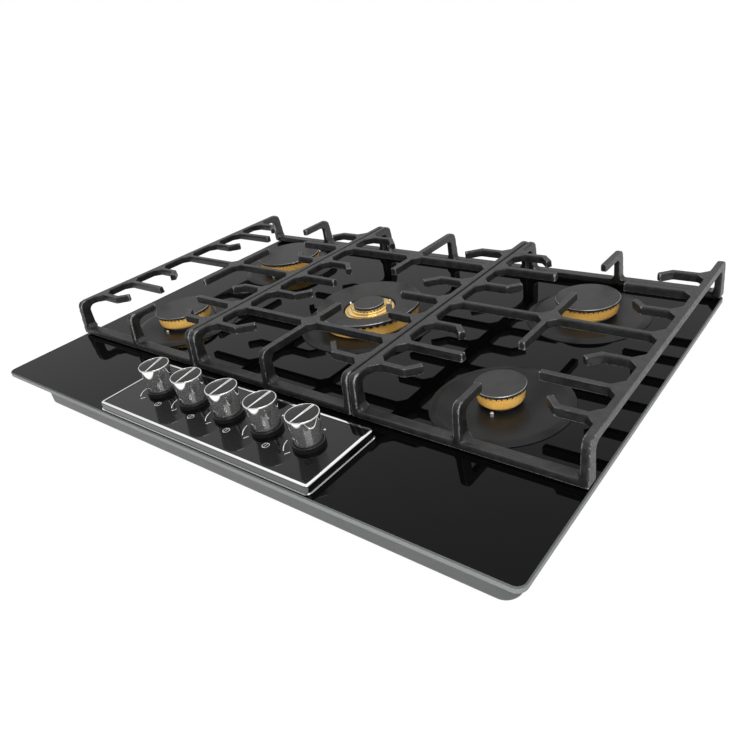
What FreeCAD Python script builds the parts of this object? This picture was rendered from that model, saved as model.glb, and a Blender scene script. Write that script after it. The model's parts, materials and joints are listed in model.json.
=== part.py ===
"""Built-in gas cooktop: five burners under a tempered glass top, three cast grates, five taps in a row.

Millimetres, +Z up. The origin is the centre of the tray's underside; +X runs along the front edge to the
right and +Y towards the back.
"""
import FreeCAD, Part
import math
import os

V = FreeCAD.Vector
UP = V(0, 0, 1)
BACK = V(0, 1, 0)

# ---- driving dimensions: glass and tray -------------------------------------------------------------
glass_width = 762.0
glass_depth = 520.0
glass_thick = 6.0
glass_corner_r = 9.0
glass_bevel = 1.2
glass_top = 57.0                      # height of the glass face over the tray's underside
tray_width = 716.0
tray_depth = 470.0
tray_corner_r = 16.0
tray_edge_r = 5.0
sheet = 0.8
flange_width = 8.0
gasket_thick = 1.5
gasket_inset = 1.0
seal_width = 10.0
seal_thick = 3.0
seal_gap = 1.0
vent_length = 46.0
vent_width = 5.0
vent_pitch = 16.0
vent_rows = 5
seat_gap = 0.3                        # air under a piece that lifts off
shaft_play = 0.05                     # radial play of a running shaft

# ---- driving dimensions: burners --------------------------------------------------------------------
burner_side_gap = 105.0               # tray's side to the side burners
front_line_gap = 149.5                # knob row to the front fingers' line
back_line_gap = 78.5                  # back fingers' line to the tray's back
burner_setback = 2.5                  # burners stand this far in front of the fingers' lines
rapid_cap_r = 49.5
medium_cap_r = 38.0
small_cap_r = 26.5
cap_overhang = 2.0
cap_thick = 3.4
cap_edge = 0.8
cap_dome = 0.5
cap_spigot_depth = 3.0
head_base_rise = 8.0                  # head seat over the glass face
head_height = 13.0
head_wall = 6.0
head_bowl = 3.0                       # how far the bowl draws in at its foot
head_skirt = 1.5                      # the bowl's rim hangs this far below its seat
head_foot_rise = 2.2
head_foot_draw = 0.9
head_belly = 6.0                      # height where the bowl is full
head_floor = 3.0
head_sleeve = 2.5
spigot_depth = 5.0
fit_gap = 0.35
cup_wall = 3.0
cup_reach = 2.0                       # cup's outside beyond the head's bore
cup_bottom = 12.0
cup_floor = 3.0
cup_flange_thick = 3.0
cup_flange_drop = 8.0                 # flange under the glass
hole_margin = 8.0                     # glass opening beyond the cap's edge
hole_gap = 1.0
cup_play = 0.5                        # air round a cup's wall
plate_thick = 3.0
plate_lip = 0.8
plate_slope = 8.0
side_plate_r = 73.5
wok_plate_r = 93.0
port_width = 1.6
port_height = 3.0
port_pitch = 5.4
wok_cap_r = 68.0
wok_cap_inner_r = 34.0
wok_cap_thick = 4.6
wok_cap_dish = 7.0                    # the ring cap falls this much towards its hole
wok_cap_skin = 3.0
wok_guide_thick = 3.0
wok_outer_head_r = 64.0
wok_outer_wall = 7.0
wok_floor_thick = 3.0
wok_inner_r = 33.0
wok_inner_top_r = 21.5
wok_inner_wall = 5.0
wok_shoulder_drop = 4.0               # inner crown's shoulder below the outer crown's top
wok_shoulder_edge = 1.5
wok_shoulder_rise = 2.5
wok_neck_foot = 3.0
wok_centre_cap_r = 20.2
wok_cap_top = 25.4                    # over the glass face
wok_tooth_pitch = 6.2
electrode_r = 1.9
electrode_gap = 0.6                   # from the head's side to the rod's side
electrode_rise = 7.5
electrode_tip = 3.0
thermo_gap = 2.6                      # from the cap's edge to the rod's side
thermo_rise = 12.0
thermo_point = 1.0
electrode_angle = -80.0
thermo_r = 1.6
thermo_angle = 70.0
wok_rod_reach = 28.0                  # middle burner: its rods stand inside the ring
wok_rod_rise = 22.0
wok_electrode_angle = 50.0
wok_thermo_angle = 190.0
rod_hole_gap = 0.6
rod_tail = 4.0                        # rod below the flange that holds it
wok_rod_tail = 6.0

# ---- driving dimensions: grates ---------------------------------------------------------------------
grate_side_margin = 1.0               # glass edge to the outer rails
grate_gap = 2.0
grate_panel_gap = 20.0                # control panel to the front legs' top corner
grate_back_margin = 6.0
finger_line_offset = 1.0              # side fingers' line beyond the side burners
grate_rise = 48.0                     # top face over the glass face
bar_height = 9.5
bar_width = 7.0
bar_draft = 0.7
rail_width = 8.0
leg_thick = 12.0                      # at the top; the splay makes it thicker below
leg_splay = 4.5
leg_bend_r = 9.0
leg_inner_r = 7.0
sill_width = 15.0                     # bottom bars at the front and the back
sill_height = 7.5
sill_draft = 1.2
sill_gusset = 5.0
foot_height = 1.6
foot_length = 12.0
foot_width = 9.0
tip_reach = 42.0                      # side burners: finger tips to the burner's centre
wok_tip_reach = 56.0
inner_row_offset = 51.5               # bent fingers either side of a burner, towards the middle
outer_row_offset = 47.5               # and towards the front or the back
wok_row_offset = 53.0
knee_reach = 81.0                     # where a bent finger turns, from the burner's centre line
bend_run = 12.5                       # turned length along and across the finger
wok_knee_reach = 79.0
wok_bend_run = 16.0
gusset = 9.0

# ---- driving dimensions: controls -------------------------------------------------------------------
fascia_length = 329.0
fascia_width = 96.5
fascia_offset_x = -4.3                # panel's centre from the middle knob
fascia_offset_y = -2.25
fascia_thick = 8.7
fascia_corner_r = 5.0
trim_width = 3.5
trim_step = 1.5
trim_step_thick = 1.0
trim_proud = 0.5
knob_count = 5
knob_pitch = 58.3
knob_row_x = 10.8                     # middle tap
knob_row_gap = 29.0                   # tray's front to the knob row
knob_top_r = 17.1
knob_waist_r = 13.7
knob_base_r = 14.2
knob_base_height = 1.5
knob_rim_height = 1.0
knob_rim_ease = 0.8
knob_play = 0.5                       # air left under a pressed knob
knob_rise = 44.0                      # knob face over the glass face
knob_shell = 1.6
knob_top_thick = 3.0
knob_hub_r = 6.0
knob_push = 3.5
bezel_outer_r = 16.8
bezel_inner_r = 14.8
bezel_height = 5.3
stem_r = 3.0
stem_flat = 0.8
stem_hole_gap = 2.0
glass_stem_hole_r = 9.0
valve_size = 26.0
valve_bottom = 9.0
valve_height = 28.0
valve_wall_z = 3.0
plug_r = 7.0
plug_height = 18.0
socket_depth = 7.0
plug_way_r = 2.0                      # gas way across the plug
plug_way_rise = 5.0
neck_r = 5.0

# ---- driving dimensions: gas way --------------------------------------------------------------------
rail_pipe_r = 8.0
rail_pipe_wall = 1.5
rail_pipe_gap = 9.0                   # valve body to the pipe
rail_pipe_z = 20.0
rail_pipe_bend_r = 24.0
rail_pipe_side_gap = 38.0             # tray's side to the pipe that runs back
rail_pipe_end = 12.0
rail_plug = 3.0                       # closed end of the pipe
tube_r = 3.0
tube_z = 33.0
tube_bend_r = 12.0
tube_wall = 0.8
near_lane = 36.0                      # first cross run behind the pipe
far_lane = 64.0
inner_lane_gap = 68.0                 # side burners to the tubes that pass inside them
injector_r = 5.0
injector_length = 12.0
injector_socket = 5.0
boss_r = 7.5
boss_length = 4.0
jet_way_r = 2.0
orifice_r = 0.6
inlet_r = 10.48                       # half-inch pipe thread
inlet_bore_r = 6.5
inlet_thread = 18.5
inlet_relief = 1.5                    # plain neck between the tray and the thread
inlet_relief_r = 9.2
inlet_hole_gap = 0.4
inlet_shank_wall = 2.5
inlet_collar_r = 15.0
inlet_collar_thick = 4.0

# ---- driving dimensions: brackets, ignition, clamps -------------------------------------------------
bracket_thick = 1.2
bracket_width = 24.0
bracket_margin = 14.0
bracket_foot = 12.0
module_length = 70.0
module_width = 36.0
module_height = 24.0
module_corner_r = 3.0
module_side_gap = 58.0                # tray's side to the module's middle
module_front_gap = 49.0
battery_r = 8.0
battery_cap = 14.0                    # case beyond the battery's room
clamp_spacing_y = 240.0               # the two clamps on the left side
clamp_spacing_x = 360.0               # the two clamps at the back
clamp_width = 24.0
clamp_thick = 1.5
clamp_bottom = 8.0
clamp_height = 26.0
clamp_reach = 18.0
clamp_screw_r = 2.5
clamp_screw_tail = 5.0
counter_thick = 30.0                  # worktop that the clamps are set for
clamp_pad_r = 6.0
clamp_pad_thick = 2.0
clamp_screw_margin = 1.0

# ---- worked-out levels and places -------------------------------------------------------------------
glass_under = glass_top - glass_thick
flange_top = glass_under - gasket_thick
head_seat = glass_top + head_base_rise
head_bottom = head_seat + seat_gap
head_top = head_bottom + head_height
cap_bottom = head_top + seat_gap
grate_top = glass_top + grate_rise
bar_under = grate_top - bar_height
foot_bottom = glass_top + seat_gap
sill_bottom = foot_bottom + foot_height
sill_top = sill_bottom + sill_height
tray_front = -tray_depth / 2
tray_back = tray_depth / 2
knob_row_y = tray_front + knob_row_gap
fascia_x = knob_row_x + fascia_offset_x
fascia_y = knob_row_y + fascia_offset_y
front_line_y = knob_row_y + front_line_gap
back_line_y = tray_back - back_line_gap
middle_y = (front_line_y + back_line_y) / 2
side_burner_x = tray_width / 2 - burner_side_gap
side_line_x = side_burner_x + finger_line_offset
grate_outer_x = glass_width / 2 - grate_side_margin
grate_front = fascia_y + fascia_width / 2 + grate_panel_gap
grate_back = glass_depth / 2 - grate_back_margin
inner_lane_x = side_burner_x - inner_lane_gap
rail_pipe_x = tray_width / 2 - rail_pipe_side_gap
module_x = module_side_gap - tray_width / 2
module_y = tray_front + module_front_gap
fascia_top = glass_top + fascia_thick
knob_top = glass_top + knob_rise
knob_bottom = fascia_top + knob_push + knob_play
valve_top = valve_bottom + valve_height
plug_bottom = valve_bottom + valve_wall_z
plug_top = plug_bottom + plug_height
valve_back_y = knob_row_y + valve_size / 2
rail_pipe_y = valve_back_y + rail_pipe_gap + rail_pipe_r
grate_inner_x = (2 * grate_outer_x - 2 * grate_gap) / 6

KNOBS = ["left_front", "left_rear", "middle", "right_rear", "right_front"]
front_burner_y = front_line_y - burner_setback
back_burner_y = back_line_y - burner_setback
BURNERS = {
    "left_front": dict(x=-side_burner_x, y=front_burner_y, cap_r=medium_cap_r, plate_r=side_plate_r),
    "left_rear": dict(x=-side_burner_x, y=back_burner_y, cap_r=rapid_cap_r, plate_r=side_plate_r),
    "middle": dict(x=0.0, y=middle_y - burner_setback, cap_r=wok_cap_r, plate_r=wok_plate_r),
    "right_rear": dict(x=side_burner_x, y=back_burner_y, cap_r=medium_cap_r, plate_r=side_plate_r),
    "right_front": dict(x=side_burner_x, y=front_burner_y, cap_r=small_cap_r, plate_r=side_plate_r),
}


# ---- helpers ----------------------------------------------------------------------------------------
def save(name, shape):
    """Write one sub-part to its own file."""
    shape = shape.removeSplitter() if len(shape.Solids) == 1 else shape
    shape.exportStep("parts/" + name + ".step")
    print(name, len(shape.Solids), round(shape.Volume), shape.isValid())


def box(x0, x1, y0, y1, z0, z1):
    return Part.makeBox(x1 - x0, y1 - y0, z1 - z0, V(x0, y0, z0))


def cyl(radius, z0, z1, x=0.0, y=0.0):
    return Part.makeCylinder(radius, z1 - z0, V(x, y, z0), UP)


def tube_ring(outer, inner, z0, z1, x=0.0, y=0.0):
    return cyl(outer, z0, z1, x, y).cut(cyl(inner, z0 - 1, z1 + 1, x, y))


def turned(points, x=0.0, y=0.0):
    """Solid of revolution about the vertical through x, y from (radius, height) points."""
    corners = [V(r, 0, z) for r, z in points]
    face = Part.Face(Part.makePolygon(corners + corners[:1]))
    solid = face.revolve(V(0, 0, 0), UP, 360)
    solid.translate(V(x, y, 0))
    return solid


def round_rect(width, depth, radius, z0, z1, x=0.0, y=0.0):
    """Upright slab with rounded plan corners, centred on x, y."""
    hx = width / 2
    hy = depth / 2
    k = radius * (1 - math.sqrt(0.5))
    edges = []
    for sx, sy, turn in ((1, -1, 1), (1, 1, -1), (-1, 1, 1), (-1, -1, -1)):
        along_x = V(sx * (hx - radius), sy * hy, z0)
        along_y = V(sx * hx, sy * (hy - radius), z0)
        middle = V(sx * (hx - k), sy * (hy - k), z0)
        pair = (along_x, along_y) if turn == 1 else (along_y, along_x)
        edges.append((pair[0], middle, pair[1]))
    shape = []
    for i, (start, middle, end) in enumerate(edges):
        shape.append(Part.Arc(start, middle, end).toShape())
        shape.append(Part.LineSegment(end, edges[(i + 1) % 4][0]).toShape())
    slab = Part.Face(Part.Wire(shape)).extrude(V(0, 0, z1 - z0))
    slab.translate(V(x, y, 0))
    return slab


def bottom_edges(shape, z):
    return [e for e in shape.Edges if abs(e.BoundBox.ZMin - z) < 1e-6 and abs(e.BoundBox.ZMax - z) < 1e-6]


def polar(x, y, radius, degrees):
    a = math.radians(degrees)
    return x + radius * math.cos(a), y + radius * math.sin(a)


def fuse_all(shapes):
    return shapes[0].multiFuse(shapes[1:]) if len(shapes) > 1 else shapes[0]


def pipe(points, radius, bend_r):
    """Round bar along straight runs joined by tangent arcs."""
    pts = [V(*p) for p in points]
    edges = []
    start = pts[0]
    for i in range(1, len(pts) - 1):
        a = pts[i] - pts[i - 1]
        b = pts[i + 1] - pts[i]
        turn = a.getAngle(b)
        shorter = min(a.Length, b.Length)
        r = min(bend_r, 0.45 * shorter / math.tan(turn / 2))
        back = r * math.tan(turn / 2)
        a.normalize()
        b.normalize()
        p0 = pts[i] - a * back
        p2 = pts[i] + b * back
        inward = b - a
        inward.normalize()
        p1 = pts[i] + inward * (r / math.cos(turn / 2) - r)
        edges.append(Part.LineSegment(start, p0).toShape())
        edges.append(Part.Arc(p0, p1, p2).toShape())
        start = p2
    edges.append(Part.LineSegment(start, pts[-1]).toShape())
    path = Part.Wire(edges)
    heading = pts[1] - pts[0]
    section = Part.Wire(Part.makeCircle(radius, pts[0], heading))
    return path.makePipeShell([section], True, False)


# ---- glass, tray and what seals them ----------------------------------------------------------------
def make_glass_top():
    slab = round_rect(glass_width, glass_depth, glass_corner_r, glass_under, glass_top)
    slab = slab.makeChamfer(glass_bevel, bottom_edges(slab, glass_top))
    holes = []
    for b in BURNERS.values():
        holes.append(cyl(b["cap_r"] + hole_margin, glass_under - 1, glass_top + 1, b["x"], b["y"]))
    for i in range(knob_count):
        holes.append(cyl(glass_stem_hole_r, glass_under - 1, glass_top + 1, knob_x(i), knob_row_y))
    save("glass_top", slab.cut(holes))


def make_bottom_tray():
    outer = round_rect(tray_width, tray_depth, tray_corner_r, 0, flange_top)
    outer = outer.makeFillet(tray_edge_r, bottom_edges(outer, 0))
    inner = round_rect(tray_width - 2 * sheet, tray_depth - 2 * sheet, tray_corner_r - sheet,
                       sheet, flange_top + 1)
    inner = inner.makeFillet(tray_edge_r - sheet, bottom_edges(inner, sheet))
    flange = round_rect(tray_width + 2 * flange_width, tray_depth + 2 * flange_width,
                        tray_corner_r + flange_width, flange_top - sheet, flange_top)
    cuts = [inner]
    cuts.append(Part.makeCylinder(inlet_r + inlet_hole_gap, 2 * inlet_collar_r,
                                  V(rail_pipe_x, tray_back - inlet_collar_r, rail_pipe_z), BACK))
    for side in (-1, 1):
        for row in range(vent_rows):
            y = middle_y + (row - (vent_rows - 1) / 2) * vent_pitch
            x = side * inner_lane_x / 2
            cuts.append(round_rect(vent_length, vent_width, vent_width / 2 - 0.01, -1, sheet + 1, x, y))
    save("bottom_tray", outer.fuse(flange).cut(cuts))


def make_tray_gasket():
    trim = 2 * gasket_inset
    outer = round_rect(tray_width + 2 * flange_width - trim, tray_depth + 2 * flange_width - trim,
                       tray_corner_r + flange_width - gasket_inset, flange_top, glass_under)
    inner = round_rect(tray_width + trim, tray_depth + trim, tray_corner_r + gasket_inset,
                       flange_top - 1, glass_under + 1)
    save("tray_gasket", outer.cut(inner))


def make_counter_seal():
    reach = 2 * (flange_width + seal_gap)
    inner_r = tray_corner_r + flange_width + seal_gap
    outer = round_rect(tray_width + reach + 2 * seal_width, tray_depth + reach + 2 * seal_width,
                       inner_r + seal_width, glass_under - seal_thick, glass_under)
    inner = round_rect(tray_width + reach, tray_depth + reach, inner_r,
                       glass_under - seal_thick - 1, glass_under + 1)
    save("counter_seal", outer.cut(inner))


# ---- control panel ----------------------------------------------------------------------------------
def knob_x(i):
    return knob_row_x + (i - (knob_count - 1) / 2) * knob_pitch


def make_fascia():
    panel = round_rect(fascia_length - 2 * trim_width, fascia_width - 2 * trim_width,
                       fascia_corner_r - trim_width, glass_top, fascia_top, fascia_x, fascia_y)
    holes = [cyl(stem_r + stem_hole_gap, glass_top - 1, fascia_top + 1, knob_x(i), knob_row_y)
             for i in range(knob_count)]
    save("control_panel", panel.cut(holes))
    upper = round_rect(fascia_length, fascia_width, fascia_corner_r,
                       glass_top, fascia_top + trim_proud, fascia_x, fascia_y)
    step = round_rect(fascia_length + 2 * trim_step, fascia_width + 2 * trim_step,
                      fascia_corner_r + trim_step, glass_top, glass_top + trim_step_thick,
                      fascia_x, fascia_y)
    window = round_rect(fascia_length - 2 * trim_width, fascia_width - 2 * trim_width,
                        fascia_corner_r - trim_width, glass_top - 1, fascia_top + trim_proud + 1,
                        fascia_x, fascia_y)
    save("panel_trim", upper.fuse(step).cut(window))


def make_knob_bezels():
    rings = []
    for i in range(knob_count):
        x = knob_x(i)
        ring = tube_ring(bezel_outer_r, bezel_inner_r, fascia_top, fascia_top + bezel_height,
                         x, knob_row_y)
        rings.append(ring)
    save("knob_bezels", Part.makeCompound(rings))


def stem_solid(i, z0, z1, radius=stem_r, flat=stem_flat):
    """Round stem with one flat, which keys the knob to the tap."""
    x = knob_x(i)
    bar = cyl(radius, z0, z1, x, knob_row_y)
    cutter = box(x - radius, x + radius, knob_row_y + radius - flat, knob_row_y + radius + 1, z0 - 1, z1 + 1)
    return bar.cut(cutter)


def make_knob(i, name):
    x = knob_x(i)
    base_top = knob_bottom + knob_base_height
    shell = turned([(0, knob_bottom), (knob_base_r, knob_bottom), (knob_base_r, base_top),
                    (knob_waist_r, base_top), (knob_top_r, knob_top - knob_rim_height),
                    (knob_top_r - knob_rim_ease, knob_top), (0, knob_top)], x, knob_row_y)
    room_top = knob_top - knob_top_thick
    room = turned([(0, knob_bottom - 1), (knob_waist_r - knob_shell, knob_bottom - 1),
                   (knob_waist_r - knob_shell, base_top), (knob_top_r - knob_shell - knob_rim_ease, room_top),
                   (0, room_top)], x, knob_row_y)
    hub = cyl(knob_hub_r, base_top, room_top + 0.1, x, knob_row_y)
    bore = stem_solid(i, knob_bottom - 1, room_top - knob_top_thick)
    save("knob_" + name, shell.cut(room).fuse(hub).cut(bore))


def make_stem(i, name):
    low = plug_top - socket_depth + knob_push + knob_play
    high = knob_top - 2 * knob_top_thick
    save("stem_" + name, stem_solid(i, low, high))


def make_plug(i, name):
    x = knob_x(i)
    body = cyl(plug_r - shaft_play, plug_bottom, plug_top, x, knob_row_y)
    socket = stem_solid(i, plug_top - socket_depth, plug_top + 1, stem_r + shaft_play, stem_flat)
    way = Part.makeCylinder(plug_way_r, 2 * plug_r,
                            V(x, knob_row_y - plug_r, plug_bottom + plug_way_rise), BACK)
    save("tap_plug_" + name, body.cut([socket, way]))


def make_valve_bodies():
    bodies = []
    pipe_line = Part.makeCylinder(rail_pipe_r, glass_width, V(-glass_width / 2, rail_pipe_y, rail_pipe_z),
                                  V(1, 0, 0))
    for i in range(knob_count):
        x = knob_x(i)
        half = valve_size / 2
        body = box(x - half, x + half, knob_row_y - half, knob_row_y + half, valve_bottom, valve_top)
        neck = Part.makeCylinder(neck_r, rail_pipe_gap + rail_pipe_r, V(x, valve_back_y - 1, rail_pipe_z),
                                 BACK)
        room = cyl(plug_r, plug_bottom - seat_gap, plug_top + seat_gap, x, knob_row_y)
        throat = cyl(stem_r + fit_gap, plug_top, valve_top + 1, x, knob_row_y)
        bodies.append(body.fuse(neck.cut(pipe_line)).cut([room, throat]))
    save("valve_bodies", Part.makeCompound(bodies))


# ---- gas way ----------------------------------------------------------------------------------------
def make_gas_rail():
    first_x = knob_x(0) - valve_size / 2 - rail_pipe_end
    wall_y = tray_back - sheet
    inlet_y = wall_y - inlet_collar_thick - rail_pipe_end
    corner = (rail_pipe_x, rail_pipe_y, rail_pipe_z)
    outer = pipe([(first_x, rail_pipe_y, rail_pipe_z), corner, (rail_pipe_x, inlet_y, rail_pipe_z)],
                 rail_pipe_r, rail_pipe_bend_r)
    inner = pipe([(first_x + rail_plug, rail_pipe_y, rail_pipe_z), corner,
                  (rail_pipe_x, inlet_y + 1, rail_pipe_z)], rail_pipe_r - rail_pipe_wall, rail_pipe_bend_r)
    save("gas_rail", outer.cut(inner))
    thread_y = tray_back + inlet_relief
    fitting = []
    for radius, y0, y1 in ((rail_pipe_r + inlet_shank_wall, inlet_y, inlet_y + rail_pipe_end),
                           (inlet_collar_r, wall_y - inlet_collar_thick, wall_y),
                           (inlet_relief_r, wall_y, thread_y),
                           (inlet_r, thread_y, thread_y + inlet_thread)):
        fitting.append(Part.makeCylinder(radius, y1 - y0, V(rail_pipe_x, y0, rail_pipe_z), BACK))
    bore = Part.makeCylinder(inlet_bore_r, thread_y + inlet_thread - inlet_y + 2,
                             V(rail_pipe_x, inlet_y - 1, rail_pipe_z), BACK)
    save("gas_inlet", fuse_all(fitting).cut(bore))


def cup_radius(b):
    return b["cap_r"] - cap_overhang - head_wall - cup_wall + cup_reach


def injector_end(b):
    """Front face of a burner's injector, where its supply tube plugs in."""
    return b["y"] - cup_radius(b) - boss_length - injector_length


def make_supply_tubes():
    start_y = valve_back_y
    tubes = []
    for i, name in enumerate(KNOBS):
        b = BURNERS[name]
        x = knob_x(i)
        end_y = injector_end(b) + injector_socket
        side = -1 if b["x"] < 0 else 1
        if name.endswith("front"):
            lane = rail_pipe_y + near_lane
            plan = [(x, start_y), (x, lane), (b["x"], lane), (b["x"], end_y)]
        elif name == "middle":
            plan = [(x, start_y), (x, rail_pipe_y + near_lane), (b["x"], rail_pipe_y + far_lane),
                    (b["x"], end_y)]
        else:
            lane = rail_pipe_y + far_lane
            turn_y = injector_end(b) - near_lane
            plan = [(x, start_y), (x, lane), (side * inner_lane_x, lane), (side * inner_lane_x, turn_y),
                    (b["x"], turn_y), (b["x"], end_y)]
        route = [(px, py, tube_z) for px, py in plan]
        tubes.append(pipe(route, tube_r, tube_bend_r).cut(pipe(route, tube_r - tube_wall, tube_bend_r)))
    save("supply_tubes", Part.makeCompound(tubes))


def make_injectors():
    jets = []
    for b in BURNERS.values():
        y = injector_end(b)
        jet = Part.makeCylinder(injector_r, injector_length, V(b["x"], y, tube_z), BACK)
        socket = Part.makeCylinder(tube_r, injector_socket, V(b["x"], y, tube_z), BACK)
        orifice = Part.makeCylinder(orifice_r, injector_length + 2, V(b["x"], y - 1, tube_z), BACK)
        jets.append(jet.cut([socket, orifice]))
    save("injectors", Part.makeCompound(jets))


# ---- burners ----------------------------------------------------------------------------------------
def rods(name, b):
    """Centre and radius of a burner's rods: the ignition electrode, then the thermocouple."""
    if name == "middle":
        angles = (wok_electrode_angle, wok_thermo_angle)
    else:
        angles = (electrode_angle, thermo_angle)
    places = []
    reaches = (b["cap_r"] - cap_overhang + electrode_gap + electrode_r, b["cap_r"] + thermo_gap + thermo_r)
    for angle, rod_r, side_reach in zip(angles, (electrode_r, thermo_r), reaches):
        reach = wok_rod_reach if name == "middle" else side_reach
        places.append(polar(b["x"], b["y"], reach, angle) + (rod_r,))
    return places


def rod_holes(name, b, play, z0, z1):
    return [cyl(rod_r + play, z0, z1, px, py) for px, py, rod_r in rods(name, b)]


def make_burner_cup(name, b):
    r = cup_radius(b)
    flange_r = b["cap_r"] + hole_margin - hole_gap
    flange_z = glass_under - cup_flange_drop
    room_floor = cup_bottom + cup_floor
    x = b["x"]
    y = b["y"]
    body = turned([(0, cup_bottom), (r, cup_bottom), (r, flange_z), (flange_r, flange_z),
                   (flange_r, flange_z + cup_flange_thick), (r, flange_z + cup_flange_thick),
                   (r, head_seat), (r - cup_wall, head_seat), (r - cup_wall, room_floor),
                   (0, room_floor)], x, y)
    boss = Part.makeCylinder(boss_r, boss_length + cup_wall, V(x, y - r - boss_length, tube_z), BACK)
    jet_way = Part.makeCylinder(jet_way_r, boss_length + 2 * cup_wall,
                                V(x, y - r - boss_length - 1, tube_z), BACK)
    cuts = rod_holes(name, b, 0, cup_bottom - 1, flange_z + cup_flange_thick + 1)
    save("burner_cup_" + name, body.fuse(boss).cut(cuts + [jet_way]))


def make_burner_plate(name, b):
    inner = cup_radius(b) + cup_play
    outer = b["plate_r"]
    plate = turned([(inner, glass_top), (outer, glass_top), (outer, glass_top + plate_lip),
                    (outer - plate_slope, glass_top + plate_thick), (inner, glass_top + plate_thick)],
                   b["x"], b["y"])
    cuts = rod_holes(name, b, rod_hole_gap, glass_top - 1, glass_top + plate_thick + 1)
    save("burner_plate_" + name, plate.cut(cuts))


def ring_ports(b, radius, depth, z_top, pitch):
    """Radial slots cut down from the top edge of a ring."""
    count = int(round(2 * math.pi * radius / pitch))
    slots = []
    for k in range(count):
        slot = box(radius - depth - 1, radius + 1, -port_width / 2, port_width / 2,
                   z_top - port_height, z_top + 1)
        slot.rotate(V(0, 0, 0), UP, (k + 0.5) * 360.0 / count)
        slot.translate(V(b["x"], b["y"], 0))
        slots.append(slot)
    return slots


def spigot_radius(b):
    return cup_radius(b) - cup_wall - fit_gap


def bowl_foot(b, r):
    """Outside of a head, from its spigot up to where the bowl is full."""
    spigot = spigot_radius(b)
    seat_r = cup_radius(b) + cup_play
    rim_z = head_bottom - head_skirt
    return [(spigot, head_bottom - spigot_depth), (spigot, head_bottom), (seat_r, head_bottom),
            (seat_r, rim_z), (r - head_bowl, rim_z), (r - head_foot_draw, rim_z + head_foot_rise),
            (r, head_bottom + head_belly)]


def bowl_inside(b, bore):
    """Inside of a head, from its bore down to the spigot's end."""
    sleeve = spigot_radius(b) - head_sleeve
    return [(bore, head_bottom + head_floor), (sleeve, head_bottom + head_floor),
            (sleeve, head_bottom - spigot_depth)]


def make_burner_head(name, b):
    r = b["cap_r"] - cap_overhang
    bore = r - head_wall
    body = turned(bowl_foot(b, r) + [(r, head_top), (bore, head_top)] + bowl_inside(b, bore), b["x"], b["y"])
    save("burner_head_" + name, body.cut(ring_ports(b, r, head_wall, head_top, port_pitch)))


def domed_cap(name, b, r, bottom, top, spigot_r):
    cap = turned([(0, bottom - cap_spigot_depth), (spigot_r, bottom - cap_spigot_depth), (spigot_r, bottom),
                  (r - cap_edge, bottom), (r, bottom + cap_edge), (r, top - cap_edge),
                  (r - cap_edge, top), (r * 0.6, top + 0.7 * cap_dome), (0, top + cap_dome)],
                 b["x"], b["y"])
    save(name, cap)


def make_burner_cap(name, b):
    spigot_r = b["cap_r"] - cap_overhang - head_wall - fit_gap
    domed_cap("burner_cap_" + name, b, b["cap_r"], cap_bottom, cap_bottom + cap_thick, spigot_r)


def make_wok_burner():
    b = BURNERS["middle"]
    cap_top_z = glass_top + wok_cap_top
    ring_top = cap_top_z - wok_cap_thick - seat_gap
    floor_top = head_bottom + wok_floor_thick
    centre_bottom = cap_top_z - cap_thick
    inner_top = centre_bottom - seat_gap
    shoulder = ring_top - wok_shoulder_drop
    outer_bore = wok_outer_head_r - wok_outer_wall
    core = wok_inner_top_r - wok_inner_wall
    body = turned(bowl_foot(b, wok_outer_head_r) + [
        (wok_outer_head_r, ring_top), (outer_bore, ring_top), (outer_bore, floor_top),
        (wok_inner_r - wok_neck_foot, floor_top), (wok_inner_r, shoulder),
        (wok_inner_r - wok_shoulder_edge, shoulder + wok_shoulder_edge),
        (wok_inner_top_r + wok_neck_foot, shoulder + wok_shoulder_rise),
        (wok_inner_top_r, inner_top - port_height - 1), (wok_inner_top_r, inner_top), (core, inner_top),
        (core, head_bottom - spigot_depth)], b["x"], b["y"])
    slots = ring_ports(b, wok_outer_head_r, wok_outer_wall, ring_top, wok_tooth_pitch)
    slots += ring_ports(b, wok_inner_top_r, wok_inner_wall, inner_top, port_pitch)
    slots += rod_holes("middle", b, rod_hole_gap, head_bottom - spigot_depth - 1, inner_top)
    save("burner_head_middle", body.cut(slots))
    ring_bottom = ring_top + seat_gap
    guide_r = outer_bore - fit_gap
    guide_inner = guide_r - wok_guide_thick
    rim_r = wok_cap_r - 2 * cap_edge
    lip_z = cap_top_z - wok_cap_dish
    fall = wok_cap_dish / (rim_r - wok_cap_inner_r)
    under_z = lip_z - wok_cap_skin + fall * (guide_inner - wok_cap_inner_r)
    ring = turned([(guide_inner, ring_bottom - cap_spigot_depth), (guide_r, ring_bottom - cap_spigot_depth),
                   (guide_r, ring_bottom), (wok_cap_r - cap_edge, ring_bottom),
                   (wok_cap_r, ring_bottom + cap_edge), (wok_cap_r, cap_top_z - 2 * cap_edge),
                   (rim_r, cap_top_z), (wok_cap_inner_r + cap_edge, lip_z + fall * cap_edge),
                   (wok_cap_inner_r, lip_z - cap_edge), (wok_cap_inner_r, lip_z - wok_cap_skin),
                   (guide_inner, under_z)], b["x"], b["y"])
    save("burner_ring_cap_middle", ring)
    domed_cap("burner_cap_middle", b, wok_centre_cap_r, centre_bottom, cap_top_z, core - fit_gap)


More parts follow.
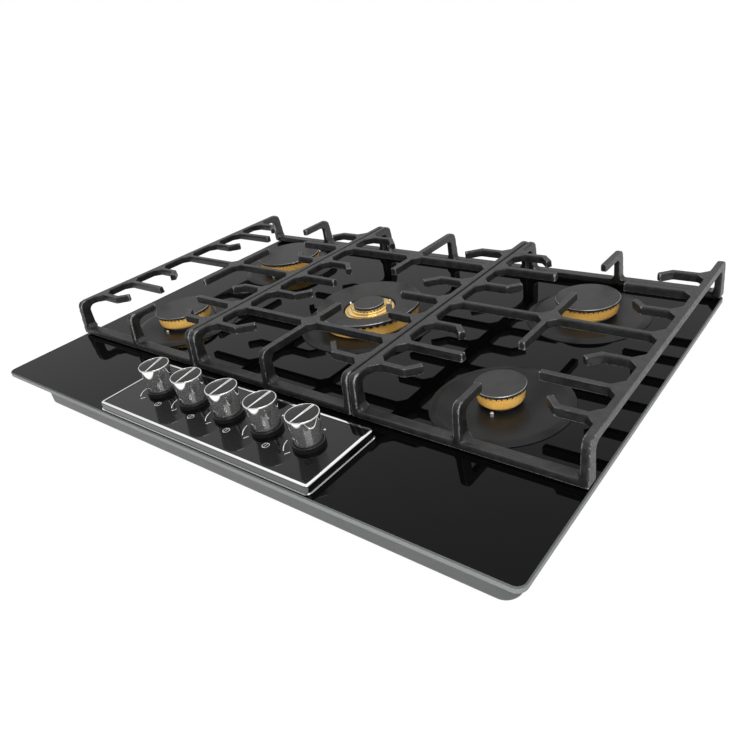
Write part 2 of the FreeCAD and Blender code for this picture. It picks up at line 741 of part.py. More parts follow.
def make_ignition_rods():
    electrodes = []
    thermos = []
    for name, b in BURNERS.items():
        wok = name == "middle"
        top = glass_top + (wok_rod_rise if wok else electrode_rise)
        thermo_top = glass_top + (wok_rod_rise if wok else thermo_rise)
        foot = cup_bottom - wok_rod_tail if wok else glass_under - cup_flange_drop - rod_tail
        (ex, ey, er), (tx, ty, tr) = rods(name, b)
        electrodes.append(turned([(0, foot), (er, foot), (er, top - electrode_tip),
                                  (er / 2, top - electrode_tip / 2), (er / 2, top), (0, top)], ex, ey))
        thermos.append(turned([(0, foot), (tr, foot), (tr, thermo_top), (tr / 2, thermo_top + thermo_point),
                               (0, thermo_top + thermo_point)], tx, ty))
    save("ignition_electrodes", Part.makeCompound(electrodes))
    save("thermocouples", Part.makeCompound(thermos))


def make_burner_brackets():
    brackets = []
    for name, b in BURNERS.items():
        half = cup_radius(b) + bracket_margin
        x = b["x"]
        w = bracket_width / 2
        t = bracket_thick
        parts = [box(x - half, x + half, b["y"] - w, b["y"] + w, cup_bottom - t, cup_bottom)]
        for side in (-1, 1):
            leg = sorted((x + side * half, x + side * (half - t)))
            foot = sorted((x + side * half, x + side * (half + bracket_foot)))
            foot[0 if side > 0 else 1] = x + side * (half - t)
            foot.sort()
            parts.append(box(leg[0], leg[1], b["y"] - w, b["y"] + w, sheet, cup_bottom))
            parts.append(box(foot[0], foot[1], b["y"] - w, b["y"] + w, sheet, sheet + t))
        brackets.append(fuse_all(parts).cut(rod_holes(name, b, rod_hole_gap, sheet, cup_bottom + 1)))
    save("burner_brackets", Part.makeCompound(brackets))


# ---- grates -----------------------------------------------------------------------------------------
def outline(points, half):
    """Plan corners of a bar of the given half width along a centre line."""
    left = []
    right = []
    for i, (px, py) in enumerate(points):
        before = points[i - 1] if i > 0 else None
        after = points[i + 1] if i < len(points) - 1 else None
        headings = []
        if before:
            headings.append(math.atan2(py - before[1], px - before[0]))
        if after:
            headings.append(math.atan2(after[1] - py, after[0] - px))
        if len(headings) == 2:
            turn = math.atan2(math.sin(headings[1] - headings[0]), math.cos(headings[1] - headings[0]))
            heading = headings[0] + turn / 2
            spread = half / math.cos(turn / 2)
        else:
            heading = headings[0]
            spread = half
        nx = -math.sin(heading) * spread
        ny = math.cos(heading) * spread
        left.append((px + nx, py + ny))
        right.append((px - nx, py - ny))
    return left + right[::-1]


def bar(points, top_half=bar_width / 2):
    """Drafted bar under the grate's top face along a plan centre line."""
    wires = []
    for half, z in ((top_half, grate_top), (top_half + bar_draft, bar_under)):
        corners = [V(px, py, z) for px, py in outline(points, half)]
        wires.append(Part.makePolygon(corners + corners[:1]))
    return Part.makeLoft(wires, True, True)


def side_profile(x0, x1, points):
    """Slab between two x planes; a point is (y, z) or (y, z, corner radius)."""
    corners = []
    for i, point in enumerate(points):
        p = V(x0, point[0], point[1])
        if len(point) == 2:
            corners.append((p,))
            continue
        before = points[i - 1]
        after = points[(i + 1) % len(points)]
        a = V(x0, before[0], before[1]) - p
        b = V(x0, after[0], after[1]) - p
        half = a.getAngle(b) / 2
        a.normalize()
        b.normalize()
        bisector = a + b
        bisector.normalize()
        cut = point[2] / math.tan(half)
        middle = p + bisector * (point[2] / math.sin(half) - point[2])
        corners.append((p + a * cut, middle, p + b * cut))
    edges = []
    for i, corner in enumerate(corners):
        if len(corner) == 3:
            edges.append(Part.Arc(*corner).toShape())
        edges.append(Part.LineSegment(corner[-1], corners[(i + 1) % len(corners)][0]).toShape())
    return Part.Face(Part.Wire(edges)).extrude(V(x1 - x0, 0, 0))


def leg_points(end_y, outward):
    """Outer and inner corners of a leg at a rail's end, from the sill up."""
    foot_y = end_y + outward * leg_splay
    outer = [(foot_y, sill_bottom + 2), (end_y, grate_top, leg_bend_r)]
    inner = [(end_y - outward * leg_thick, bar_under, leg_inner_r),
             (end_y - outward * leg_thick, sill_bottom + 2)]
    return outer, inner


def rail(x0, x1):
    """Side rail with a leg at each end, in one profile."""
    front_outer, front_inner = leg_points(grate_front, -1)
    back_outer, back_inner = leg_points(grate_back, 1)
    return side_profile(x0, x1, front_outer + back_outer[::-1] + back_inner[::-1] + front_inner)


def middle_arm(x, end_y, outward, tip_y):
    """Middle leg that turns into a finger towards the burner."""
    outer, inner = leg_points(end_y, outward)
    half = bar_width / 2 + bar_draft / 2
    tip = [(tip_y, grate_top), (tip_y, bar_under)]
    return side_profile(x - half, x + half, outer + tip + inner)


def corner_gusset(x, y, side_x, side_y):
    """Small web in the corner between a rail and a bar."""
    corners = [(x, y), (x + side_x * gusset, y), (x, y + side_y * gusset)]
    wire = Part.makePolygon([V(px, py, bar_under) for px, py in corners + corners[:1]])
    return Part.Face(wire).extrude(V(0, 0, bar_height))


def sill(x0, x1, y):
    """Bottom bar that joins the legs just over the glass."""
    half = sill_width / 2
    top_half = half - sill_draft
    section = [V(x0, y - half, sill_bottom), V(x0, y + half, sill_bottom), V(x0, y + top_half, sill_top),
               V(x0, y - top_half, sill_top)]
    return Part.Face(Part.makePolygon(section + section[:1])).extrude(V(x1 - x0, 0, 0))


def straight_finger(x_root, x_centre, y, reach):
    side = 1 if x_root > x_centre else -1
    return bar([(x_root, y), (x_centre + side * reach, y)])


def bent_finger(x_root, x_centre, y, toward, knee, run):
    """Finger that leaves a rail square and turns half right towards the burner; toward is the turn's sign."""
    side = 1 if x_root > x_centre else -1
    knee_x = x_centre + side * knee
    return bar([(x_root, y), (knee_x, y), (knee_x - side * run, y + toward * run)])


def leg_gusset(x, side, end_y, outward):
    """Small web between a leg's side and the sill, as deep as the leg."""
    corners = [(x, sill_top), (x + side * sill_gusset, sill_top), (x, sill_top + sill_gusset)]
    y0, y1 = sorted((end_y, end_y - outward * leg_thick))
    wire = Part.makePolygon([V(px, y0, pz) for px, pz in corners + corners[:1]])
    return Part.Face(wire).extrude(V(0, y1 - y0, 0))


def grate_frame(x_left, x_right, x_line):
    """Rails, legs and sills shared by every grate."""
    pieces = [rail(x_left, x_left + rail_width), rail(x_right - rail_width, x_right)]
    half = bar_width / 2 + bar_draft / 2
    for end_y, outward in ((grate_front, -1), (grate_back, 1)):
        pieces.append(sill(x_left, x_right, sill_line(end_y, outward)))
        for x, side in ((x_left + rail_width, 1), (x_line - half, -1), (x_line + half, 1),
                        (x_right - rail_width, -1)):
            pieces.append(leg_gusset(x, side, end_y, outward))
    return pieces


def sill_line(end_y, outward):
    """Centre line of the sill that joins the feet of the legs at one end."""
    return end_y + outward * (leg_splay - sill_width / 2)


def finger_row(x_left, x_right, x_line, y, make, *shape):
    """A finger from each rail at y, with webs in its corners."""
    pieces = []
    for root, side in ((x_left + rail_width / 2, 1), (x_right - rail_width / 2, -1)):
        pieces.append(make(root, x_line, y, *shape))
        face = root + side * rail_width / 2
        for up in (-1, 1):
            pieces.append(corner_gusset(face, y + up * bar_width / 2, side, up))
    return pieces


def cross_bar(x_left, x_right, y, x_line):
    pieces = [bar([(x_left + rail_width / 2, y), (x_right - rail_width / 2, y)])]
    edge = bar_width / 2
    for up in (-1, 1):
        pieces.append(corner_gusset(x_left + rail_width, y + up * edge, 1, up))
        pieces.append(corner_gusset(x_right - rail_width, y + up * edge, -1, up))
        for side in (-1, 1):
            pieces.append(corner_gusset(x_line + side * edge, y + up * edge, side, up))
    return pieces


def make_side_grate(name, x_left, x_right, x_line):
    pieces = grate_frame(x_left, x_right, x_line)
    pieces += cross_bar(x_left, x_right, middle_y, x_line)
    pieces.append(bar([(x_line, front_line_y + tip_reach), (x_line, back_line_y - tip_reach)]))
    pieces.append(middle_arm(x_line, grate_front, -1, front_line_y - tip_reach))
    pieces.append(middle_arm(x_line, grate_back, 1, back_line_y + tip_reach))
    for y, outward in ((front_line_y, -1), (back_line_y, 1)):
        pieces += finger_row(x_left, x_right, x_line, y, straight_finger, tip_reach)
        outer_row = y + outward * outer_row_offset
        inner_row = y - outward * inner_row_offset
        for row, toward in ((outer_row, -outward), (inner_row, outward)):
            pieces += finger_row(x_left, x_right, x_line, row, bent_finger, toward, knee_reach, bend_run)
    save(name, fuse_all(pieces))


def make_middle_grate(name, x_left, x_right, x_line):
    pieces = grate_frame(x_left, x_right, x_line)
    for y in (front_line_y, back_line_y):
        pieces += cross_bar(x_left, x_right, y, x_line)
    pieces.append(middle_arm(x_line, grate_front, -1, middle_y - wok_tip_reach))
    pieces.append(middle_arm(x_line, grate_back, 1, middle_y + wok_tip_reach))
    pieces += finger_row(x_left, x_right, x_line, middle_y, straight_finger, wok_tip_reach)
    for row, toward in ((middle_y - wok_row_offset, 1), (middle_y + wok_row_offset, -1),
                        (front_line_y - outer_row_offset, 1), (back_line_y + outer_row_offset, -1)):
        pieces += finger_row(x_left, x_right, x_line, row, bent_finger, toward, wok_knee_reach, wok_bend_run)
    save(name, fuse_all(pieces))


def make_grate_feet(name, x_left, x_right, x_line):
    """Six rubber pads under a grate's sills."""
    pads = []
    for y in (sill_line(grate_front, -1), sill_line(grate_back, 1)):
        for x in (x_left + foot_length, x_line, x_right - foot_length):
            pads.append(box(x - foot_length / 2, x + foot_length / 2, y - foot_width / 2,
                            y + foot_width / 2, foot_bottom, sill_bottom))
    save(name, Part.makeCompound(pads))


# ---- ignition module and clamps ---------------------------------------------------------------------
def make_ignition_module():
    case = round_rect(module_length, module_width, module_corner_r, sheet, sheet + module_height,
                      module_x, module_y)
    battery = Part.makeCylinder(battery_r, module_length - battery_cap,
                                V(module_x - module_length / 2 - 1, module_y, sheet + module_height / 2),
                                V(1, 0, 0))
    save("ignition_module", case.cut(battery))


def make_clamp(x, y, turn):
    """Hook bracket and its screw on a tray wall at x, y; turn is the wall's outward direction in degrees."""
    w = clamp_width / 2
    pad_top = glass_under - seal_thick - counter_thick
    screw_x = clamp_reach - clamp_pad_r - clamp_screw_margin
    upright = box(0, clamp_thick, -w, w, clamp_bottom, clamp_bottom + clamp_height)
    foot = box(0, clamp_reach, -w, w, clamp_bottom, clamp_bottom + clamp_thick)
    hole = cyl(clamp_screw_r, clamp_bottom - 1, clamp_bottom + clamp_thick + 1, screw_x)
    bracket = upright.fuse(foot).cut(hole)
    shank = cyl(clamp_screw_r, clamp_bottom - clamp_screw_tail, pad_top - clamp_pad_thick, screw_x)
    screw = shank.fuse(cyl(clamp_pad_r, pad_top - clamp_pad_thick, pad_top, screw_x))
    for solid in (bracket, screw):
        solid.rotate(V(0, 0, 0), UP, turn)
        solid.translate(V(x, y, 0))
    return bracket, screw


def make_clamps():
    places = []
    for side in (-1, 1):
        places.append((-tray_width / 2, side * clamp_spacing_y / 2, 180))
        places.append((side * clamp_spacing_x / 2, tray_back, 90))
    pairs = [make_clamp(*place) for place in places]
    save("clamp_brackets", Part.makeCompound([bracket for bracket, screw in pairs]))
    save("clamp_screws", Part.makeCompound([screw for bracket, screw in pairs]))


def main():
    os.makedirs("parts", exist_ok=True)
    make_glass_top()
    make_bottom_tray()
    make_tray_gasket()
    make_counter_seal()
    make_fascia()
    make_knob_bezels()
    for i, name in enumerate(KNOBS):
        make_knob(i, name)
        make_stem(i, name)
        make_plug(i, name)
    make_valve_bodies()
    make_gas_rail()
    make_supply_tubes()
    make_injectors()
    for name, b in BURNERS.items():
        make_burner_cup(name, b)
        make_burner_plate(name, b)
        if name != "middle":
            make_burner_head(name, b)
            make_burner_cap(name, b)
    make_wok_burner()
    make_ignition_rods()
    make_burner_brackets()
    spans = {
        "left": (-grate_outer_x, -grate_inner_x - grate_gap, -side_line_x),
        "middle": (-grate_inner_x, grate_inner_x, 0.0),
        "right": (grate_inner_x + grate_gap, grate_outer_x, side_line_x),
    }
    for name, span in spans.items():
        maker = make_middle_grate if name == "middle" else make_side_grate
        maker("grate_" + name, *span)
        make_grate_feet("grate_feet_" + name, *span)
    make_ignition_module()
    make_clamps()


main()
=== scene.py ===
"""The built-in gas cooktop, dressed: cast grates, turned burners, chrome knobs, panel marks and light."""

import json
import math

import bmesh
import bpy
import numpy as np
from mathutils import Euler, Matrix, Vector


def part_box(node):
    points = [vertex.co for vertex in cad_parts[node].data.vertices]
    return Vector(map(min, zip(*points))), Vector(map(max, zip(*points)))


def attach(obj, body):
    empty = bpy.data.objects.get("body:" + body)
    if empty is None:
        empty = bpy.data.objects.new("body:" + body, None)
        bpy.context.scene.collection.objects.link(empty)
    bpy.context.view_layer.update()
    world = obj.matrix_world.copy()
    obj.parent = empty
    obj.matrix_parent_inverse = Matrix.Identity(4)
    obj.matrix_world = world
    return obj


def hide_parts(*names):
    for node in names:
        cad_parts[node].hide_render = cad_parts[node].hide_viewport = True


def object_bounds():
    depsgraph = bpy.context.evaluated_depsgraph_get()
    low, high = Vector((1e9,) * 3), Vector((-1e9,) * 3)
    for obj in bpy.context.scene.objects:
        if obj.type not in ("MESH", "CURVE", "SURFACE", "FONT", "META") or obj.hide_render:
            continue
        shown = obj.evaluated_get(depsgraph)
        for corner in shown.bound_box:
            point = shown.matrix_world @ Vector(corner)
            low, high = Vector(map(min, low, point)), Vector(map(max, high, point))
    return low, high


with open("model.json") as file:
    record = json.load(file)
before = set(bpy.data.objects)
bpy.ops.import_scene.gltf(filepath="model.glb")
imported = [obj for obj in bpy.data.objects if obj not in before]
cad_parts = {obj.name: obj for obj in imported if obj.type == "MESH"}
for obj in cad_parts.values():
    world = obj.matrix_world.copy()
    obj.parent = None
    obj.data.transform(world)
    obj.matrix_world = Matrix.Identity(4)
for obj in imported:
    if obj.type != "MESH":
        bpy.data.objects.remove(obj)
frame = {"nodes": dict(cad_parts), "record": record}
cad_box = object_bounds()

NODES = frame["nodes"]
MM = 0.001
FULL_TURN = 2 * math.pi
BURNERS = ["left_front", "left_rear", "middle", "right_rear", "right_front"]
SIDE_BURNERS = [name for name in BURNERS if name != "middle"]
GRATES = ["left", "middle", "right"]


# ---- sizes read from the frame, in millimetres -------------------------------------------------------
def extent(node):
    """Lowest and highest corner of a CAD node."""
    low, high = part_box(node)
    return low / MM, high / MM


def centre_of(node):
    low, high = extent(node)
    return (low.x + high.x) / 2, (low.y + high.y) / 2


def radius_of(node):
    low, high = extent(node)
    return (high.x - low.x) / 2


PANEL_TOP = extent("control_panel")[1].z


# ---- finishes ----------------------------------------------------------------------------------------
class Finish:
    """A material: one principled shader, with patterns that follow the object's own coordinates."""

    def __init__(self, name, colour, roughness, metallic=0.0, ior=1.5, specular=0.5):
        self.material = bpy.data.materials.new(name)
        self.material.use_nodes = True
        self.tree = self.material.node_tree
        self.shader = self.tree.nodes["Principled BSDF"]
        self.shader.inputs["Base Color"].default_value = (*colour, 1)
        self.shader.inputs["Roughness"].default_value = roughness
        self.shader.inputs["Metallic"].default_value = metallic
        self.shader.inputs["IOR"].default_value = ior
        self.shader.inputs["Specular IOR Level"].default_value = specular
        self.place = self.tree.nodes.new("ShaderNodeTexCoord").outputs["Object"]

    def node(self, kind, **settings):
        made = self.tree.nodes.new(kind)
        for key, value in settings.items():
            setattr(made, key, value)
        return made

    def join(self, source, target):
        self.tree.links.new(source, target)

    def noise(self, grain_mm, detail=3.0, stretch=(1, 1, 1)):
        """Noise whose lumps are about grain_mm across."""
        mapping = self.node("ShaderNodeMapping")
        mapping.inputs["Scale"].default_value = stretch
        noise = self.node("ShaderNodeTexNoise")
        noise.inputs["Scale"].default_value = 1 / (grain_mm * MM)
        noise.inputs["Detail"].default_value = detail
        self.join(self.place, mapping.inputs["Vector"])
        self.join(mapping.outputs["Vector"], noise.inputs["Vector"])
        return noise.outputs["Fac"]

    def ranged(self, value, low, high, from_low=0.35, from_high=0.65):
        spread = self.node("ShaderNodeMapRange")
        spread.inputs["From Min"].default_value = from_low
        spread.inputs["From Max"].default_value = from_high
        spread.inputs["To Min"].default_value = low
        spread.inputs["To Max"].default_value = high
        self.join(value, spread.inputs["Value"])
        return spread.outputs["Result"]

    def mixed(self, share, first, second):
        """Colour that goes from first to second; either is a colour or a socket."""
        mix = self.node("ShaderNodeMix", data_type="RGBA")
        for key, value in (("A", first), ("B", second)):
            socket = [s for s in mix.inputs if s.name == key and s.type == "RGBA"][0]
            if isinstance(value, bpy.types.NodeSocket):
                self.join(value, socket)
            else:
                socket.default_value = (*value, 1)
        self.join(share, mix.inputs["Factor"])
        return [s for s in mix.outputs if s.type == "RGBA"][0]

    def colour_from(self, socket):
        self.join(socket, self.shader.inputs["Base Color"])
        return self

    def dulled(self, low, high, grain_mm, detail=3.0, stretch=(1, 1, 1)):
        """Roughness that wanders from low to high."""
        dull = self.ranged(self.noise(grain_mm, detail, stretch), low, high)
        self.join(dull, self.shader.inputs["Roughness"])
        return self

    def mottled(self, dark, light, grain_mm, detail=4.0):
        """Colour that wanders from dark to light."""
        share = self.ranged(self.noise(grain_mm, detail), 0, 1)
        return self.colour_from(self.mixed(share, dark, light))

    def pebbled(self, grain_mm, height_mm, strength, detail=3.0):
        """Fine relief."""
        bump = self.node("ShaderNodeBump")
        bump.inputs["Strength"].default_value = strength
        bump.inputs["Distance"].default_value = height_mm * MM
        self.join(self.noise(grain_mm, detail), bump.inputs["Height"])
        self.join(bump.outputs["Normal"], self.shader.inputs["Normal"])
        return self

    def upright_share(self):
        """1 on upright faces, 0 on level ones."""
        geometry = self.node("ShaderNodeNewGeometry")
        split = self.node("ShaderNodeSeparateXYZ")
        size = self.node("ShaderNodeMath", operation="ABSOLUTE")
        self.join(geometry.outputs["True Normal"], split.inputs["Vector"])
        self.join(split.outputs["Z"], size.inputs[0])
        return self.ranged(size.outputs["Value"], 1, 0, 0.5, 0.95)


GROUND_EDGE_DULL = 0.3


def black_glass():
    """Polished black faces with faint smears; the ground edge is grey and dull."""
    face = (0.0017, 0.0017, 0.0018)
    made = Finish("black_glass", face, 0.03, ior=1.52, specular=0.1)
    edge = made.upright_share()
    made.colour_from(made.mixed(edge, face, (0.19, 0.2, 0.195)))
    smear = made.ranged(made.noise(60, 4), 0.01, 0.035)
    total = made.node("ShaderNodeMath", operation="MULTIPLY_ADD")
    total.inputs[1].default_value = GROUND_EDGE_DULL
    made.join(edge, total.inputs[0])
    made.join(smear, total.inputs[2])
    made.join(total.outputs["Value"], made.shader.inputs["Roughness"])
    return made


def chrome_trim():
    """Bright level faces and darker upright ones: a painted reflection, the upright faces' colour darkened
    for the shade they mirror.
    """
    made = Finish("polished_chrome", (0.9, 0.9, 0.9), 0.08, 1.0)
    # painted reflection: upright faces get a dark colour, level faces a bright one
    made.colour_from(made.mixed(made.upright_share(), (0.95, 0.95, 0.95), (0.13, 0.135, 0.135)))
    return made.dulled(0.05, 0.1, 12)


def cast_iron():
    """Pebbled black skin, with a painted highlight: a lighter colour on the rounded edges that the edge
    attribute marks.
    """
    made = Finish("enamelled_cast_iron", (0.02, 0.02, 0.02), 0.5, specular=0.5)
    highlit_share = made.node("ShaderNodeAttribute", attribute_name="painted_edge_highlight").outputs["Fac"]
    skin = made.mixed(made.ranged(made.noise(9, 5), 0, 1), (0.008, 0.0085, 0.0082), (0.019, 0.02, 0.0195))
    glint = made.mixed(made.ranged(made.noise(1.6, 2), 0, 1), (0.07, 0.07, 0.07), (0.42, 0.42, 0.41))
    # painted highlight: the rounded edges take the light glint colour
    made.colour_from(made.mixed(highlit_share, skin, glint))
    made.dulled(0.3, 0.46, 3, 4)
    made.pebbled(1.2, 0.35, 0.8, 2.5)
    return made


FINISHES = {
    "glass_black": black_glass(),
    "tray_enamel": Finish("satin_grey_coat", (0.085, 0.087, 0.087), 0.4).mottled(
        (0.08, 0.082, 0.082), (0.092, 0.095, 0.095), 40).pebbled(0.5, 0.02, 0.3),
    "rubber_black": Finish("black_rubber", (0.02, 0.02, 0.02), 0.75).mottled(
        (0.014, 0.014, 0.014), (0.03, 0.03, 0.03), 6).pebbled(0.6, 0.05, 0.4),
    "panel_gloss": Finish("gloss_black_panel", (0.003, 0.003, 0.0031), 0.03, ior=1.5, specular=0.3).dulled(
        0.02, 0.05, 30),
    "chrome_trim": chrome_trim(),
    "knob_chrome": Finish("knob_chrome", (0.96, 0.96, 0.95), 0.04, 0.93).dulled(0.02, 0.05, 10),
    "plastic_black": Finish("black_plastic", (0.008, 0.008, 0.008), 0.3, specular=0.35).dulled(
        0.24, 0.38, 4).pebbled(0.4, 0.02, 0.3),
    "zinc_steel": Finish("zinc_plate", (0.6, 0.61, 0.63), 0.35, 1.0).mottled(
        (0.5, 0.51, 0.54), (0.7, 0.7, 0.71), 5, 5).dulled(0.25, 0.5, 4),
    "valve_aluminium": Finish("die_cast_aluminium", (0.55, 0.55, 0.56), 0.5, 0.9).dulled(
        0.42, 0.6, 3).pebbled(0.8, 0.08, 0.5),
    "tube_aluminium": Finish("drawn_aluminium", (0.72, 0.72, 0.73), 0.3, 1.0).dulled(0.22, 0.38, 2),
    "cup_aluminium": Finish("matt_aluminium", (0.16, 0.16, 0.165), 0.55, 0.8).dulled(
        0.45, 0.65, 3).pebbled(0.8, 0.08, 0.5),
    "brass": Finish("turned_brass", (0.98, 0.56, 0.13), 0.35, 0.2).mottled(
        (0.95, 0.51, 0.11), (1.0, 0.61, 0.16), 14).dulled(0.22, 0.38, 2, 3, (1, 1, 6)),
    "plate_enamel": Finish("satin_black_enamel", (0.009, 0.009, 0.009), 0.36, specular=0.27).mottled(
        (0.008, 0.0083, 0.008), (0.0112, 0.0115, 0.0112), 20).pebbled(0.9, 0.02, 0.25),
    "cap_enamel": Finish("matt_black_enamel", (0.027, 0.027, 0.026), 0.5, specular=0.4).mottled(
        (0.024, 0.0245, 0.024), (0.031, 0.0315, 0.03), 12).pebbled(0.7, 0.03, 0.3),
    "electrode_ceramic": Finish("white_ceramic", (0.75, 0.74, 0.7), 0.3).mottled(
        (0.68, 0.66, 0.6), (0.8, 0.79, 0.76), 3),
    "thermo_steel": Finish("bright_steel", (0.85, 0.85, 0.85), 0.2, 0.8).dulled(0.14, 0.28, 2),
    "cast_iron": cast_iron(),
}
EXTRA = {                             # finishes of details that have no slot of their own
    # painted highlight: light grey on the black caps' eased upper edge
    "cap_edge": Finish("painted_cap_highlight_finish", (0.36, 0.36, 0.36), 0.18, 0.5).dulled(0.16, 0.26, 3),
    # painted shade: near black inside the gas ports and the crown's notches
    "port_painted_shade": Finish("port_painted_shade", (0.006, 0.0055, 0.005), 0.8).mottled(
        (0.004, 0.004, 0.004), (0.012, 0.01, 0.008), 1),
    "polished_brass": Finish("polished_brass", (0.94, 0.68, 0.28), 0.2, 0.75).mottled(
        (0.9, 0.62, 0.22), (0.97, 0.73, 0.33), 9).dulled(0.14, 0.24, 2),
    "print_white": Finish("white_print", (0.85, 0.85, 0.85), 0.5).mottled(
        (0.8, 0.8, 0.8), (0.9, 0.9, 0.9), 2),
    "knob_face": Finish("knob_face_black", (0.012, 0.012, 0.0118), 0.4, specular=0.3).mottled(
        (0.01, 0.01, 0.0098), (0.015, 0.0148, 0.0145), 3).dulled(0.34, 0.46, 3),
}


# ---- making pieces -----------------------------------------------------------------------------------
SHARP_ANGLE = 35


def finish_of(name):
    return (FINISHES.get(name) or EXTRA[name]).material


def dress_nodes():
    """Give every CAD node the finish of its slot."""
    for part in frame["record"]["subparts"]:
        data = NODES[part["node"]].data
        data.materials.clear()
        data.materials.append(finish_of(part["material_slot"]))


def piece(bm, name, body, finishes, stands_for=()):
    """Turn a bmesh in millimetres into a piece that rides on its body."""
    bmesh.ops.scale(bm, vec=(MM, MM, MM), verts=bm.verts)
    mesh = bpy.data.meshes.new(name)
    bm.to_mesh(mesh)
    bm.free()
    for finish in finishes:
        mesh.materials.append(finish_of(finish))
    mesh.polygons.foreach_set("use_smooth", [True] * len(mesh.polygons))
    mesh.set_sharp_from_angle(angle=math.radians(SHARP_ANGLE))
    made = bpy.data.objects.new(name, mesh)
    bpy.context.scene.collection.objects.link(made)
    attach(made, body)
    if stands_for:
        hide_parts(*stands_for)
    for finish in finishes:
        if finish in FINISHES:
            break
    return made


def lathe(profile, x, y, steps):
    """Bmesh turned about the vertical through x, y; profile has (radius, height, corner radius) points.

    A profile that starts and ends on the axis stays open there; any other is a closed ring.
    """
    bm = bmesh.new()
    points = [bm.verts.new((p[0], 0, p[1])) for p in profile]
    on_axis = profile[0][0] == 0 and profile[-1][0] == 0
    for i in range(len(points) - 1):
        bm.edges.new((points[i], points[i + 1]))
    if not on_axis:
        bm.edges.new((points[-1], points[0]))
    for radius in sorted({p[2] for p in profile if len(p) == 3}):
        corners = [v for v, p in zip(points, profile) if len(p) == 3 and p[2] == radius]
        bmesh.ops.bevel(bm, geom=corners, offset=radius, offset_type="OFFSET", segments=4, profile=0.5,
                        affect="VERTICES", material=-1)
    bmesh.ops.spin(bm, geom=bm.verts[:] + bm.edges[:], cent=(0, 0, 0), axis=(0, 0, 1), dvec=(0, 0, 0),
                   angle=FULL_TURN, steps=steps, use_merge=True)
    bmesh.ops.remove_doubles(bm, verts=bm.verts, dist=1e-4)
    bmesh.ops.recalc_face_normals(bm, faces=bm.faces)
    bmesh.ops.translate(bm, vec=(x, y, 0), verts=bm.verts)
    return bm


def copy_of(node):
    """Bmesh of a CAD node in millimetres, with its loose triangles merged."""
    bm = bmesh.new()
    bm.from_mesh(NODES[node].data)
    bmesh.ops.scale(bm, vec=(1 / MM, 1 / MM, 1 / MM), verts=bm.verts)
    bmesh.ops.remove_doubles(bm, verts=bm.verts, dist=1e-3)
    return bm


def add_to(bm, other):
    """Move another bmesh into bm."""
    other.to_mesh(part := bpy.data.meshes.new("part"))
    other.free()
    bm.from_mesh(part)
    bpy.data.meshes.remove(part)


def paint(bm, index, wanted):
    """Give the faces whose centre is wanted the material of that index."""
    for face in bm.faces:
        if wanted(face.calc_center_median()):
            face.material_index = index


def beyond(x, y, radius, height):
    """Wants what is outside a radius about x, y and above a height."""
    return lambda c: math.hypot(c.x - x, c.y - y) > radius and c.z > height


def cut_ports(bm, x, y, count, low, high, depth, index, quarters=(1,)):
    """Sink one or more of every four faces of the upright band between two heights, as gas ports."""
    ports = []
    for face in bm.faces:
        c = face.calc_center_median()
        outwards = face.normal.x * (c.x - x) + face.normal.y * (c.y - y) > 0
        if not (low < c.z < high and outwards and abs(face.normal.z) < 0.3):
            continue
        turn = math.atan2(c.y - y, c.x - x) % FULL_TURN
        if int(turn / FULL_TURN * 4 * count) % 4 in quarters:
            ports.append(face)
    sides = bmesh.ops.inset_individual(bm, faces=ports, thickness=0.06, depth=-depth)["faces"]
    # painted shade: the sunk ports and their sides take the near-black finish of that index
    for face in ports + sides:
        face.material_index = index


# ---- cast iron grates --------------------------------------------------------------------------------
GRATE_VOXEL = 1.25
GRATE_SMOOTHING = 2
# painted edge highlight: it starts and becomes full between these percentiles of how far points stick out
HIGHLIGHT_START = 87                       # percent of the points that stick out less
HIGHLIGHT_FULL = 98


def edge_highlight_mask(mesh):
    """Store how much each point sticks out of its neighbours, the mask of the painted edge highlight: rounded
    edges near 1, flats near 0.
    """
    count = len(mesh.vertices)
    co = np.empty(count * 3)
    mesh.vertices.foreach_get("co", co)
    co = co.reshape(-1, 3)
    normal = np.empty(count * 3)
    mesh.vertices.foreach_get("normal", normal)
    normal = normal.reshape(-1, 3)
    ends = np.empty(len(mesh.edges) * 2, int)
    mesh.edges.foreach_get("vertices", ends)
    ends = ends.reshape(-1, 2)
    degree = np.bincount(ends.ravel(), minlength=count)

    def around(values):
        total = np.zeros_like(values)
        np.add.at(total, ends[:, 0], values[ends[:, 1]])
        np.add.at(total, ends[:, 1], values[ends[:, 0]])
        return total / degree.reshape(-1, *[1] * (values.ndim - 1))

    proud = ((co - around(co)) * normal).sum(1) / (GRATE_VOXEL * MM)
    for _ in range(2):
        proud = (proud + around(proud)) / 2
    start, full = np.percentile(proud, (HIGHLIGHT_START, HIGHLIGHT_FULL))
    painted_edge_highlight = np.clip((proud - start) / (full - start), 0, 1)
    layer = mesh.attributes.new("painted_edge_highlight", "FLOAT", "POINT")
    layer.data.foreach_set("value", painted_edge_highlight.astype(np.float32))


